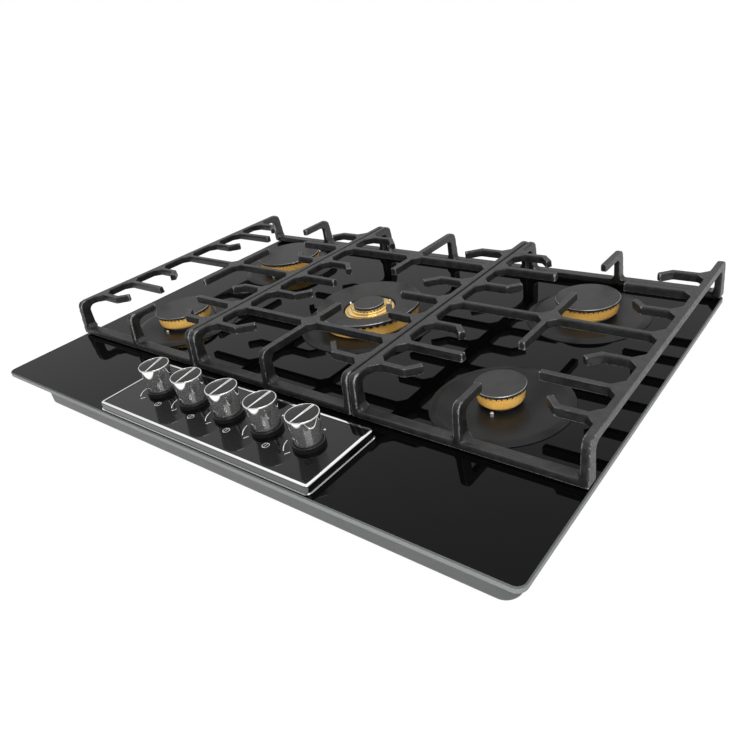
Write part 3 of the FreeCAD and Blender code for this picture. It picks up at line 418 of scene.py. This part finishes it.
def make_grate(side):
    """Cast grate: the frame's grate with rounded edges and filleted corners, as iron leaves the mould."""
    bm = bmesh.new()
    bm.from_mesh(NODES["grate_" + side].data)
    bmesh.ops.remove_doubles(bm, verts=bm.verts, dist=1e-6)
    bm.to_mesh(rough := bpy.data.meshes.new("rough_grate_" + side))
    bm.free()
    block = bpy.data.objects.new("rough_grate_" + side, rough)
    bpy.context.scene.collection.objects.link(block)
    remesh = block.modifiers.new("skin", "REMESH")
    remesh.mode = "VOXEL"
    remesh.voxel_size = GRATE_VOXEL * MM
    remesh.use_smooth_shade = True
    smooth = block.modifiers.new("tumble", "SMOOTH")
    smooth.factor = 0.5
    smooth.iterations = GRATE_SMOOTHING
    graph = bpy.context.evaluated_depsgraph_get()
    mesh = bpy.data.meshes.new_from_object(block.evaluated_get(graph))
    bpy.data.objects.remove(block)
    mesh.name = "cast_grate_" + side
    mesh.materials.clear()
    mesh.materials.append(finish_of("cast_iron"))
    edge_highlight_mask(mesh)
    made = bpy.data.objects.new("cast_grate_" + side, mesh)
    bpy.context.scene.collection.objects.link(made)
    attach(made, "grate_" + side)
    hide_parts("grate_" + side)


# ---- burners -----------------------------------------------------------------------------------------
PORT_HEIGHT = 2.0
PORT_PITCH = 5.4
PORT_DEPTH = 3.5
PORT_COVER = 0.25                     # metal above a port
TOOTH_PITCH = 8.6
TOOTH_HEIGHT = 3.0
TOOTH_DEPTH = 5.0
CAP_SPIGOT = 3.0
CAP_SPIGOT_INSET = 8.35               # a side cap's spigot is this far inside its edge
CAP_DOME = 0.5
CAP_EDGE_DROP = 0.7                   # the eased upper edge comes this far down and in
CAP_EDGE_IN = 0.8
# the cap's bright line is a painted highlight on the eased edge
CAP_HIGHLIGHT_DROP = 0.6                   # and its bright line
CAP_HIGHLIGHT_IN = 0.62
CAP_STEPS = 144
RING_STEPS = 176
CAP_PLAY = 0.35
SEAT_GAP = 0.3
HEAD_SPIGOT = 5.0
HEAD_SKIRT = 1.5
WOK_SKIRT = 4.5
HEAD_WALL = 6.0
HEAD_FLOOR = 3.0
SLEEVE_WALL = 2.5
CUP_INSET = 7.0                       # the cup's side is this far inside the head's side
CUP_WALL = 3.0
WOK_WALL = 7.0
WOK_CUP_R = 59.0
WOK_FLOOR_REACH = 12.0
CROWN_R = 33.0
CROWN_DROP = 4.0                      # from the outer crown's top to the inner crown's land
CROWN_WALL = 5.0
CROWN_REACH = 1.3                     # inner crown beyond its cap
CROWN_PORT_PITCH = 4.6
CROWN_PORT_DEPTH = 3.0
GROOVE_OUTER_R = 31.0
GROOVE_INNER_R = 30.0
GROOVE_DEPTH = 0.8
RAISED_OUTER_R = 29.4
RAISED_INNER_R = 27.0
RAISED_RISE = 1.4
WOK_RING_THICK = 4.6
WOK_RING_HOLE = 34.0
WOK_RING_DISH = 7.0
WOK_RING_SKIN = 3.0
WOK_RING_GUIDE = 3.0
WOK_RING_EASE = 1.6
WOK_RING_EDGE_DROP = 1.4
WOK_RING_HIGHLIGHT_DROP = 1.2
WOK_RING_HIGHLIGHT_IN = 0.9
PLATE_BAND = 8.0
PLATE_LIP = 0.8
FLANGE_REACH = 15.5                   # cup flange beyond the plate's hole


def ring_count(radius, pitch):
    return int(round(FULL_TURN * radius / pitch))


def make_cap(name, body, node, spigot_r):
    """Nearly flat cap with a painted highlight line round its upper edge."""
    x, y = centre_of(node)
    low, high = extent(node)
    r = radius_of(node)
    bottom = low.z + CAP_SPIGOT
    rim = high.z - CAP_DOME
    bm = lathe([(0, low.z), (spigot_r, low.z, 0.4), (spigot_r, bottom), (r - 0.4, bottom, 0.2),
                (r, bottom + 0.5, 0.25), (r, rim - CAP_EDGE_DROP, 0.4), (r - CAP_EDGE_IN, rim, 0.35),
                (r * 0.6, high.z - 0.3 * CAP_DOME), (0, high.z)], x, y, CAP_STEPS)
    # painted highlight: a light grey band on the eased upper edge
    paint(bm, 1, beyond(x, y, r - CAP_HIGHLIGHT_IN, rim - CAP_HIGHLIGHT_DROP))
    piece(bm, name, body, ["cap_enamel", "cap_edge"], [node])


def bowl_side(cup_r, r, low, bottom, skirt=HEAD_SKIRT):
    """Outside of a head from its spigot up to where the bowl is full."""
    rim = bottom - skirt
    spigot = cup_r - CUP_WALL - CAP_PLAY
    seat = cup_r + 0.5
    return [(spigot, low), (spigot, bottom), (seat, bottom), (seat, rim), (r - 3.0, rim, 0.3),
            (r - 0.9, rim + 2.2, 1.0), (r, bottom + 6.0, 2.0)]


def make_head(name):
    """Bowl-shaped brass head with a ring of ports under the cap."""
    node = "burner_head_" + name
    x, y = centre_of(node)
    low, high = extent(node)
    r = radius_of(node)
    bottom = low.z + HEAD_SPIGOT
    cup_r = r - CUP_INSET
    sleeve = cup_r - CUP_WALL - CAP_PLAY - SLEEVE_WALL
    floor = bottom + HEAD_FLOOR
    bore = r - HEAD_WALL
    count = ring_count(r, PORT_PITCH)
    bm = lathe(bowl_side(cup_r, r, low.z, bottom) + [
        (r, high.z - PORT_HEIGHT), (r, high.z, 0.2), (bore, high.z), (bore, floor), (sleeve, floor),
        (sleeve, low.z)], x, y, 4 * count)
    cut_ports(bm, x, y, count, high.z - PORT_HEIGHT, high.z - PORT_COVER, PORT_DEPTH, 1)
    piece(bm, "brass_head_" + name, "head_" + name, ["brass", "port_painted_shade"], [node])


class WokBurner:
    """Middle burner: two crowns, a ring cap and a centre cap, with the radii and heights they share."""

    def __init__(self):
        self.x, self.y = centre_of("burner_head_middle")
        self.low = extent("burner_head_middle")[0].z
        self.bottom = self.low + HEAD_SPIGOT
        self.floor = self.bottom + HEAD_FLOOR
        self.r = radius_of("burner_head_middle")
        self.bore = self.r - WOK_WALL
        self.floor_r = self.bore - WOK_FLOOR_REACH
        self.cap_r = radius_of("burner_ring_cap_middle")
        self.cap_top = extent("burner_ring_cap_middle")[1].z
        self.cap_under = self.cap_top - WOK_RING_THICK
        self.outer_top = self.cap_under - SEAT_GAP
        self.crown = radius_of("burner_cap_middle") + CROWN_REACH
        self.core = self.crown - CROWN_WALL
        self.inner_top = extent("burner_cap_middle")[0].z + CAP_SPIGOT - SEAT_GAP

    def make_outer_crown(self):
        """Toothed brass bowl."""
        top = self.outer_top
        teeth = ring_count(self.r, TOOTH_PITCH)
        bm = lathe(bowl_side(WOK_CUP_R, self.r, self.low, self.bottom, WOK_SKIRT) + [
            (self.r, top - TOOTH_HEIGHT), (self.r, top, 0.2), (self.bore, top), (self.bore, self.floor, 1),
            (self.floor_r, self.floor), (self.floor_r, self.low)], self.x, self.y, 4 * teeth)
        cut_ports(bm, self.x, self.y, teeth, top - TOOTH_HEIGHT, top - PORT_COVER, TOOTH_DEPTH, 1, (1, 2))
        piece(bm, "brass_outer_crown", "head_middle", ["brass", "port_painted_shade"], ["burner_head_middle"])

    def make_inner_crown(self):
        """Polished crown: a land, a groove, a raised ring, then the step that carries the ports."""
        land = self.outer_top - CROWN_DROP
        valley = land - GROOVE_DEPTH
        raised = land + RAISED_RISE
        foot_r = self.floor_r - 1
        crown = self.crown
        top = self.inner_top
        ports = ring_count(crown, CROWN_PORT_PITCH)
        bm = lathe([
            (self.core, self.low), (foot_r, self.low), (foot_r, self.floor), (CROWN_R, self.floor, 1.0),
            (CROWN_R, land, 0.8), (GROOVE_OUTER_R + 0.4, land + 0.2, 0.4), (GROOVE_OUTER_R, valley),
            (GROOVE_INNER_R, valley), (RAISED_OUTER_R, raised, 0.5), (RAISED_INNER_R, raised + 0.4, 0.5),
            (RAISED_INNER_R - 0.2, land + 1.0), (crown + 2.6, land + 1.0), (crown + 2.2, land + 2.8, 0.5),
            (crown + 0.4, land + 3.4, 0.3), (crown, top - PORT_HEIGHT), (crown, top, 0.2), (self.core, top)],
            self.x, self.y, 4 * ports)
        cut_ports(bm, self.x, self.y, ports, top - PORT_HEIGHT, top - PORT_COVER, CROWN_PORT_DEPTH, 1)
        made = piece(bm, "brass_inner_crown", "head_middle", ["polished_brass", "port_painted_shade"])

    def make_ring_cap(self):
        """Dished ring with a guide rim under it that drops into the outer crown."""
        r = self.cap_r
        top = self.cap_top
        under = self.cap_under
        rim_r = r - WOK_RING_EASE
        lip = top - WOK_RING_DISH
        slope = WOK_RING_DISH / (rim_r - WOK_RING_HOLE)
        guide = self.bore - CAP_PLAY
        guide_in = guide - WOK_RING_GUIDE
        bm = lathe([
            (guide_in, under - CAP_SPIGOT), (guide, under - CAP_SPIGOT), (guide, under),
            (r - 0.4, under, 0.2), (r, under + 0.5, 0.25), (r, top - WOK_RING_EDGE_DROP, 0.8),
            (rim_r, top, 0.8), (WOK_RING_HOLE + 0.8, lip + slope * 0.8, 0.4), (WOK_RING_HOLE, lip - 0.8, 0.4),
            (WOK_RING_HOLE, lip - WOK_RING_SKIN),
            (guide_in, lip - WOK_RING_SKIN + slope * (guide_in - WOK_RING_HOLE))],
            self.x, self.y, RING_STEPS)
        # painted highlight: a light grey band on the ring cap's eased upper edge
        paint(bm, 1, beyond(self.x, self.y, r - WOK_RING_HIGHLIGHT_IN, top - WOK_RING_HIGHLIGHT_DROP))
        piece(bm, "wok_ring_cap", "ring_cap_middle", ["cap_enamel", "cap_edge"], ["burner_ring_cap_middle"])


def make_wok_burner():
    burner = WokBurner()
    burner.make_outer_crown()
    burner.make_inner_crown()
    burner.make_ring_cap()
    make_cap("wok_centre_cap", "cap_middle", "burner_cap_middle", burner.core - CAP_PLAY)


def make_plate(name):
    """Enamel plate round a burner: flat face, sloped band and a thin lip."""
    node = "burner_plate_" + name
    x, y = centre_of(node)
    low, high = extent(node)
    outer = radius_of(node)
    inner = radius_of("burner_cup_" + name) - FLANGE_REACH
    bm = lathe([(inner, low.z), (outer, low.z), (outer, low.z + PLATE_LIP, 0.3),
                (outer - PLATE_BAND, high.z, 1.0), (inner, high.z)], x, y, RING_STEPS)
    piece(bm, "enamel_plate_" + name, "root", ["plate_enamel"], [node])


# ---- knobs and panel ---------------------------------------------------------------------------------
KNOB_WAIST_R = 13.7
KNOB_BASE_R = 14.2
KNOB_BASE_HEIGHT = 1.5
KNOB_RIM = 1.0
KNOB_FACE_DROP = 0.7
# degrees that each knob's pointer is turned, as in the photograph
KNOB_TURNS = {"left_front": 20, "left_rear": 12, "middle": 6, "right_rear": 3, "right_front": 0}
POINTER_FRONT = 1.3
POINTER_BACK = 3.4
SLIT_START = 0.15                     # shares of the face's radius
SLIT_END = 0.94
SPINDLE_HOLE_R = 4.0
KNOB_STEPS = 96
BEZEL_WALL = 2.0


def wedge(x, y, z0, z1, y0, y1, narrow, wide, turn):
    """Tapered bar from y0 to y1, narrow in front, with its long upper edges eased, turned about x, y."""
    bm = bmesh.new()
    corners = [(-narrow / 2, y0), (narrow / 2, y0), (wide / 2, y1), (-wide / 2, y1)]
    foot = bm.faces.new([bm.verts.new((cx, cy, z0)) for cx, cy in corners])
    raised = bmesh.ops.extrude_face_region(bm, geom=[foot])["geom"]
    tops = [v for v in raised if isinstance(v, bmesh.types.BMVert)]
    bmesh.ops.translate(bm, vec=(0, 0, z1 - z0), verts=tops)
    bmesh.ops.recalc_face_normals(bm, faces=bm.faces)
    long_edges = [e for e in bm.edges
                  if all(v.co.z > z1 - 1e-6 for v in e.verts) and e.calc_length() > wide + 1]
    bmesh.ops.bevel(bm, geom=long_edges, offset=narrow * 0.25, segments=3, profile=0.5, affect="EDGES",
                    material=-1)
    turned = Matrix.Rotation(math.radians(turn), 3, "Z")
    bmesh.ops.rotate(bm, cent=(0, 0, 0), matrix=turned, verts=bm.verts)
    bmesh.ops.translate(bm, vec=(x, y, 0), verts=bm.verts)
    return bm


def make_knob(name):
    """Flared chrome knob with a black face and a wedge pointer with a dark slit."""
    node = "knob_" + name
    x, y = centre_of(node)
    low, high = extent(node)
    top_r = radius_of(node)
    face_r = top_r - KNOB_RIM - 0.2
    base_top = low.z + KNOB_BASE_HEIGHT
    face = high.z - KNOB_FACE_DROP
    bm = lathe([(0, base_top - 1), (KNOB_WAIST_R - 0.6, base_top - 1), (KNOB_WAIST_R - 0.6, base_top - 0.2),
                (KNOB_WAIST_R, base_top, 0.2), (top_r, high.z - 0.9, 0.4), (top_r - 0.4, high.z, 0.3),
                (top_r - KNOB_RIM, high.z, 0.2), (face_r, face - 0.3), (0, face - 0.3)], x, y, KNOB_STEPS)
    piece(bm, "chrome_knob_" + name, node, ["knob_chrome"], [node])
    half = face_r - 0.1
    bm = lathe([(0, face - 0.25), (half, face - 0.25), (half, face, 0.1), (0, face)], x, y, KNOB_STEPS)
    piece(bm, "knob_face_" + name, node, ["knob_face"])
    turn = KNOB_TURNS[name]
    bm = wedge(x, y, face - 0.2, high.z - 0.05, -half, half, POINTER_FRONT, POINTER_BACK, turn)
    piece(bm, "knob_pointer_" + name, node, ["knob_chrome"])
    bm = wedge(x, y, face - 0.2, high.z, half * SLIT_START, half * SLIT_END, 0.5, 0.9, turn)
    piece(bm, "pointer_slit_" + name, node, ["knob_face"])
    bm = lathe([(SPINDLE_HOLE_R, low.z), (KNOB_BASE_R, low.z, 0.3), (KNOB_BASE_R, base_top - 0.1, 0.3),
                (KNOB_WAIST_R - 0.8, base_top - 0.1), (SPINDLE_HOLE_R, base_top - 0.1)], x, y, KNOB_STEPS)
    piece(bm, "knob_collar_" + name, node, ["plastic_black"])


def make_bezels():
    """Black rings that the knobs sink into when pressed."""
    low, high = extent("knob_bezels")
    outer = (high.y - low.y) / 2
    inner = outer - BEZEL_WALL
    bm = bmesh.new()
    for name in BURNERS:
        x, y = centre_of("knob_" + name)
        ring = [(inner, low.z), (outer, low.z), (outer, high.z, 0.7), (inner, high.z, 0.3)]
        add_to(bm, lathe(ring, x, y, KNOB_STEPS))
    piece(bm, "panel_bezels", "root", ["plastic_black"], ["knob_bezels"])


PRINT_THICK = 0.06
PRINT_LINE = 0.8
PRINT_RADIUS = 25.2
PRINT_LIFT = 0.02
STROKE_START = 192                    # degrees
STROKE_STEP = 4
STROKE_STEPS = 10
TICK_OUTSIDE = 245
TICK_INSIDE = 246.5
TICK_INNER_R = 20.0
DOT_PLACE = (-2.4, 24.7)              # from the knob's centre
DOT_R = 1.3
SYMBOL_PLACE = (19.8, -21.3)          # from the knob's centre
SYMBOL_R = 3.6
SYMBOL_LINE = 0.5


def ribbon(bm, points, width, z):
    """Printed line of one width through plan points."""
    rows = []
    for i, here in enumerate(points):
        before = points[max(i - 1, 0)]
        after = points[min(i + 1, len(points) - 1)]
        along = (Vector(after) - Vector(before)).normalized()
        side = Vector((-along.y, along.x)) * width / 2
        rows.append([bm.verts.new((here[0] + s * side.x, here[1] + s * side.y, z)) for s in (-1, 1)])
    for one, two in zip(rows, rows[1:]):
        bm.faces.new((one[0], one[1], two[1], two[0]))


def on_circle(x, y, radius, degrees):
    a = math.radians(degrees)
    return x + radius * math.cos(a), y + radius * math.sin(a)


def disc(bm, x, y, radius, z):
    place = Matrix.Translation((x, y, z))
    bmesh.ops.create_circle(bm, cap_ends=True, segments=24, radius=radius, matrix=place)


def make_marks():
    """White print on the panel: a turning stroke, a dot and a small ring symbol at each knob."""
    z = PANEL_TOP + PRINT_LIFT
    bm = bmesh.new()
    for name in BURNERS:
        x, y = centre_of("knob_" + name)
        stroke = [STROKE_START + STROKE_STEP * k for k in range(STROKE_STEPS + 1)]
        ribbon(bm, [on_circle(x, y, PRINT_RADIUS, turn) for turn in stroke], PRINT_LINE, z)
        tick_end = on_circle(x, y, PRINT_RADIUS + 0.5, TICK_OUTSIDE)
        ribbon(bm, [tick_end, on_circle(x, y, TICK_INNER_R, TICK_INSIDE)], PRINT_LINE, z)
        disc(bm, x + DOT_PLACE[0], y + DOT_PLACE[1], DOT_R, z)
        px = x + SYMBOL_PLACE[0]
        py = y + SYMBOL_PLACE[1]
        ribbon(bm, [on_circle(px, py, SYMBOL_R, 15 * k) for k in range(25)], SYMBOL_LINE, z)
        ribbon(bm, [(px, py - SYMBOL_R), (px, py + SYMBOL_R)], SYMBOL_LINE, z)
    for face in bm.faces:
        if face.normal.z < 0:
            face.normal_flip()
    bmesh.ops.solidify(bm, geom=bm.faces[:], thickness=PRINT_THICK)
    bmesh.ops.recalc_face_normals(bm, faces=bm.faces)
    piece(bm, "panel_marks", "root", ["print_white"])


TRIM_ROUND = 1.3
TRIM_EASE = 0.3


def make_trim():
    """Bright frame round the panel with a broad rounded upper edge."""
    top = extent("panel_trim")[1].z
    low, high = extent("control_panel")
    bm = copy_of("panel_trim")
    bmesh.ops.dissolve_limit(bm, angle_limit=math.radians(1), verts=bm.verts, edges=bm.edges)

    def sharp_edges():
        return [e for e in bm.edges if len(e.link_faces) == 2 and e.calc_face_angle() >= math.radians(40)]

    def on_top(edge):
        return all(v.co.z > top - 0.01 for v in edge.verts)

    def beyond_panel(edge):
        middle = (low + high) / 2
        reach = (high - low) / 2
        return all(abs(v.co.x - middle.x) > reach.x + 0.5 or abs(v.co.y - middle.y) > reach.y + 0.5
                   for v in edge.verts)

    outer = [e for e in sharp_edges() if on_top(e) and beyond_panel(e)]
    bmesh.ops.bevel(bm, geom=outer, offset=TRIM_ROUND, segments=5, profile=0.5, affect="EDGES",
                    clamp_overlap=True, material=-1)
    lower = [e for e in sharp_edges() if not on_top(e)]
    bmesh.ops.bevel(bm, geom=lower, offset=TRIM_EASE, segments=3, profile=0.5, affect="EDGES",
                    clamp_overlap=True, material=-1)
    piece(bm, "chrome_trim_frame", "root", ["chrome_trim"], ["panel_trim"])


# ---- gas and ignition --------------------------------------------------------------------------------
SLEEVE_R = 1.7
TIP_R = 1.9
TIP_LENGTH = 4.8
ROD_STEPS = 24


def islands(bm):
    """Middle in plan, bottom and top of each separate body in a bmesh."""
    loose = set(bm.verts)
    found = []
    while loose:
        group = {loose.pop()}
        fringe = list(group)
        while fringe:
            near = {o for v in fringe for e in v.link_edges for o in e.verts} - group
            group |= near
            fringe = list(near)
        loose -= group
        xs = [v.co.x for v in group]
        ys = [v.co.y for v in group]
        zs = [v.co.z for v in group]
        found.append(((min(xs) + max(xs)) / 2, (min(ys) + max(ys)) / 2, min(zs), max(zs)))
    return sorted(found)


def make_rods():
    """Ignition electrodes: a ceramic sleeve with a steel tip, one at each burner."""
    solids = copy_of("ignition_electrodes")
    places = islands(solids)
    solids.free()
    bm = bmesh.new()
    for x, y, bottom, top in places:
        tip = top - TIP_LENGTH
        rod = lathe([(0, bottom), (SLEEVE_R, bottom, 0.3), (SLEEVE_R, tip - 0.4, 0.2), (TIP_R, tip, 0.2),
                     (TIP_R, top - 0.7, 0.5), (1.2, top, 0.3), (0, top)], x, y, ROD_STEPS)
        paint(rod, 1, lambda c: c.z > tip - 0.6)
        add_to(bm, rod)
    piece(bm, "spark_rods", "root", ["electrode_ceramic", "thermo_steel"], ["ignition_electrodes"])


INLET_PITCH = 1.814
INLET_CREST_R = 10.48
INLET_ROOT_R = 9.4
INLET_BORE_R = 6.5
INLET_SHANK_R = 10.5
INLET_COLLAR_R = 15.0
INLET_SHANK = 12.0
INLET_COLLAR = 16.0                   # end of the collar, from the fitting's front end
INLET_NECK_R = 9.2
INLET_THREAD = 18.5
INLET_STEPS = 72
THREAD_RUN_IN = 0.3
THREAD_RUN_OUT = 1.2
THREAD_CORNERS = (0.1, 0.42, 0.58, 0.9)   # root, crest, crest, root, as shares of the pitch


def make_inlet():
    """Brass gas connection at the back with its thread cut."""
    low, high = extent("gas_inlet")
    x = (low.x + high.x) / 2
    z = (low.z + high.z) / 2
    start = high.y - INLET_THREAD
    collar = low.y + INLET_COLLAR
    shank = low.y + INLET_SHANK
    profile = [(INLET_BORE_R, low.y), (INLET_SHANK_R, low.y, 0.4), (INLET_SHANK_R, shank),
               (INLET_COLLAR_R, shank, 0.4), (INLET_COLLAR_R, collar, 0.4), (INLET_NECK_R, collar),
               (INLET_NECK_R, start)]
    radii = (INLET_ROOT_R, INLET_CREST_R, INLET_CREST_R, INLET_ROOT_R)
    for k in range(int((INLET_THREAD - THREAD_RUN_OUT) / INLET_PITCH)):
        base = start + THREAD_RUN_IN + k * INLET_PITCH
        profile += [(radius, base + share * INLET_PITCH) for radius, share in zip(radii, THREAD_CORNERS)]
    profile += [(INLET_ROOT_R, high.y - 0.6), (INLET_ROOT_R - 0.6, high.y), (INLET_BORE_R, high.y, 0.4)]
    bm = lathe(profile, 0, 0, INLET_STEPS)
    lying = Matrix.Rotation(math.radians(-90), 3, "X")
    bmesh.ops.rotate(bm, cent=(0, 0, 0), matrix=lying, verts=bm.verts)
    bmesh.ops.translate(bm, vec=(x, 0, z), verts=bm.verts)
    piece(bm, "threaded_inlet", "root", ["brass"], ["gas_inlet"])


# ---- stage, light and camera -------------------------------------------------------------------------
FLOOR_SIZE = 12.0                     # metres
FLOOR_GAP = 0.0004
FLOOR_WHITE_SHARE = 0.93
FLOOR_GLOW = 1.04
FILL_STRENGTH = 0.55
CEILING_FADE = (0.2, 0.55, 0.5, 1.0)  # from this height of the sky to that, gloss goes from this to that
FRONT_FADE = (-0.35, 0.1, 0.4, 1.0)   # and the same from the front to the back
LAMPS = [                             # name, place, aim, size, watts, whether gloss mirrors it
    ("key_softbox", (0.9, -0.7, 1.6), (0, 0, 0), (1.2, 0.9), 16, True),
    ("back_softbox", (-0.9, 1.3, 1.1), (0, 0, 0), (1.4, 0.6), 10, False),
    ("front_softbox", (0.7, -1.6, 0.5), (0, 0, 0.05), (1.0, 0.5), 14, False),
]
CAMERA_PLACE = (0.55131, -0.5474, 0.43197)
CAMERA_TURN = (60.57516, 7.64794, 36.11145)
CAMERA_LENS = 32.4964
CAMERA_SHIFT = (-0.0402026, -0.0122037)


def white_to_eye(tree, lit):
    """Mix a lit surface with plain white for what the camera and the polished metal see."""
    path = tree.nodes.new("ShaderNodeLightPath")
    seen = tree.nodes.new("ShaderNodeMath")
    seen.operation = "MAXIMUM"
    tree.links.new(path.outputs["Is Camera Ray"], seen.inputs[0])
    tree.links.new(path.outputs["Is Glossy Ray"], seen.inputs[1])
    share = tree.nodes.new("ShaderNodeMath")
    share.operation = "MULTIPLY"
    share.inputs[1].default_value = FLOOR_WHITE_SHARE
    tree.links.new(seen.outputs["Value"], share.inputs[0])
    glow = tree.nodes.new("ShaderNodeEmission")
    glow.inputs["Strength"].default_value = FLOOR_GLOW
    mix = tree.nodes.new("ShaderNodeMixShader")
    tree.links.new(share.outputs["Value"], mix.inputs["Fac"])
    tree.links.new(lit, mix.inputs[1])
    tree.links.new(glow.outputs["Emission"], mix.inputs[2])
    return mix.outputs["Shader"]


def make_floor():
    bm = bmesh.new()
    bmesh.ops.create_grid(bm, x_segments=1, y_segments=1, size=FLOOR_SIZE / 2)
    bmesh.ops.translate(bm, vec=(0, 0, cad_box[0].z - FLOOR_GAP), verts=bm.verts)
    mesh = bpy.data.meshes.new("studio_floor")
    bm.to_mesh(mesh)
    bm.free()
    floor = bpy.data.objects.new("studio_floor", mesh)
    bpy.context.scene.collection.objects.link(floor)
    material = bpy.data.materials.new("studio_white")
    material.use_nodes = True
    tree = material.node_tree
    shader = tree.nodes["Principled BSDF"]
    shader.inputs["Base Color"].default_value = (0.9, 0.9, 0.9, 1)
    shader.inputs["Roughness"].default_value = 0.9
    shown = white_to_eye(tree, shader.outputs["BSDF"])
    tree.links.new(shown, tree.nodes["Material Output"].inputs["Surface"])
    mesh.materials.append(material)


def fade(tree, value, limits):
    """Map a value from the first two limits to the last two."""
    spread = tree.nodes.new("ShaderNodeMapRange")
    for key, limit in zip(("From Min", "From Max", "To Min", "To Max"), limits):
        spread.inputs[key].default_value = limit
    tree.links.new(value, spread.inputs["Value"])
    return spread.outputs["Result"]


def glow_of(tree, strength):
    background = tree.nodes.new("ShaderNodeBackground")
    background.inputs["Color"].default_value = (1, 1, 1, 1)
    background.inputs["Strength"].default_value = strength
    return background


def make_world():
    """White to the camera, a soft grey fill as light, and in gloss a studio that fades from its ceiling."""
    world = bpy.data.worlds.new("studio")
    bpy.context.scene.world = world
    world.use_nodes = True
    tree = world.node_tree
    tree.nodes.clear()
    output = tree.nodes.new("ShaderNodeOutputWorld")
    path = tree.nodes.new("ShaderNodeLightPath")
    place = tree.nodes.new("ShaderNodeTexCoord")
    split = tree.nodes.new("ShaderNodeSeparateXYZ")
    tree.links.new(place.outputs["Generated"], split.inputs["Vector"])
    studio = tree.nodes.new("ShaderNodeMath")
    studio.operation = "MULTIPLY"
    tree.links.new(fade(tree, split.outputs["Z"], CEILING_FADE), studio.inputs[0])
    tree.links.new(fade(tree, split.outputs["Y"], FRONT_FADE), studio.inputs[1])
    fill = glow_of(tree, FILL_STRENGTH)
    white = glow_of(tree, 1.0)
    gloss = glow_of(tree, 1.0)
    tree.links.new(studio.outputs["Value"], gloss.inputs["Strength"])
    in_gloss = tree.nodes.new("ShaderNodeMixShader")
    in_camera = tree.nodes.new("ShaderNodeMixShader")
    tree.links.new(path.outputs["Is Glossy Ray"], in_gloss.inputs["Fac"])
    tree.links.new(fill.outputs["Background"], in_gloss.inputs[1])
    tree.links.new(gloss.outputs["Background"], in_gloss.inputs[2])
    tree.links.new(path.outputs["Is Camera Ray"], in_camera.inputs["Fac"])
    tree.links.new(in_gloss.outputs["Shader"], in_camera.inputs[1])
    tree.links.new(white.outputs["Background"], in_camera.inputs[2])
    tree.links.new(in_camera.outputs["Shader"], output.inputs["Surface"])


def make_lamp(name, place, aim, size, watts, mirrored):
    data = bpy.data.lights.new(name, "AREA")
    data.shape = "RECTANGLE"
    data.size, data.size_y = size
    data.energy = watts
    lamp = bpy.data.objects.new(name, data)
    lamp.visible_glossy = mirrored
    bpy.context.scene.collection.objects.link(lamp)
    lamp.location = place
    lamp.rotation_mode = "QUATERNION"
    lamp.rotation_quaternion = (Vector(aim) - Vector(place)).to_track_quat("-Z", "Y")


def make_camera():
    """The photograph's view, solved from the straight edges of the glass, tray and grates."""
    data = bpy.data.cameras.new("camera")
    data.sensor_width = 36.0
    data.lens = CAMERA_LENS
    data.shift_x, data.shift_y = CAMERA_SHIFT
    data.clip_start = 0.02
    data.clip_end = 60.0
    camera = bpy.data.objects.new("camera", data)
    bpy.context.scene.collection.objects.link(camera)
    camera.location = CAMERA_PLACE
    camera.rotation_euler = Euler([math.radians(turn) for turn in CAMERA_TURN], "XYZ")
    bpy.context.scene.camera = camera


def main():
    dress_nodes()
    for side in GRATES:
        make_grate(side)
    for name in BURNERS:
        make_plate(name)
        make_knob(name)
    for name in SIDE_BURNERS:
        make_head(name)
        spigot = radius_of("burner_cap_" + name) - CAP_SPIGOT_INSET
        make_cap("enamel_cap_" + name, "cap_" + name, "burner_cap_" + name, spigot)
    make_wok_burner()
    make_bezels()
    make_marks()
    make_trim()
    make_rods()
    make_inlet()
    make_floor()
    make_world()
    for lamp in LAMPS:
        make_lamp(*lamp)
    make_camera()
    bpy.context.scene.view_settings.view_transform = "Standard"


main()
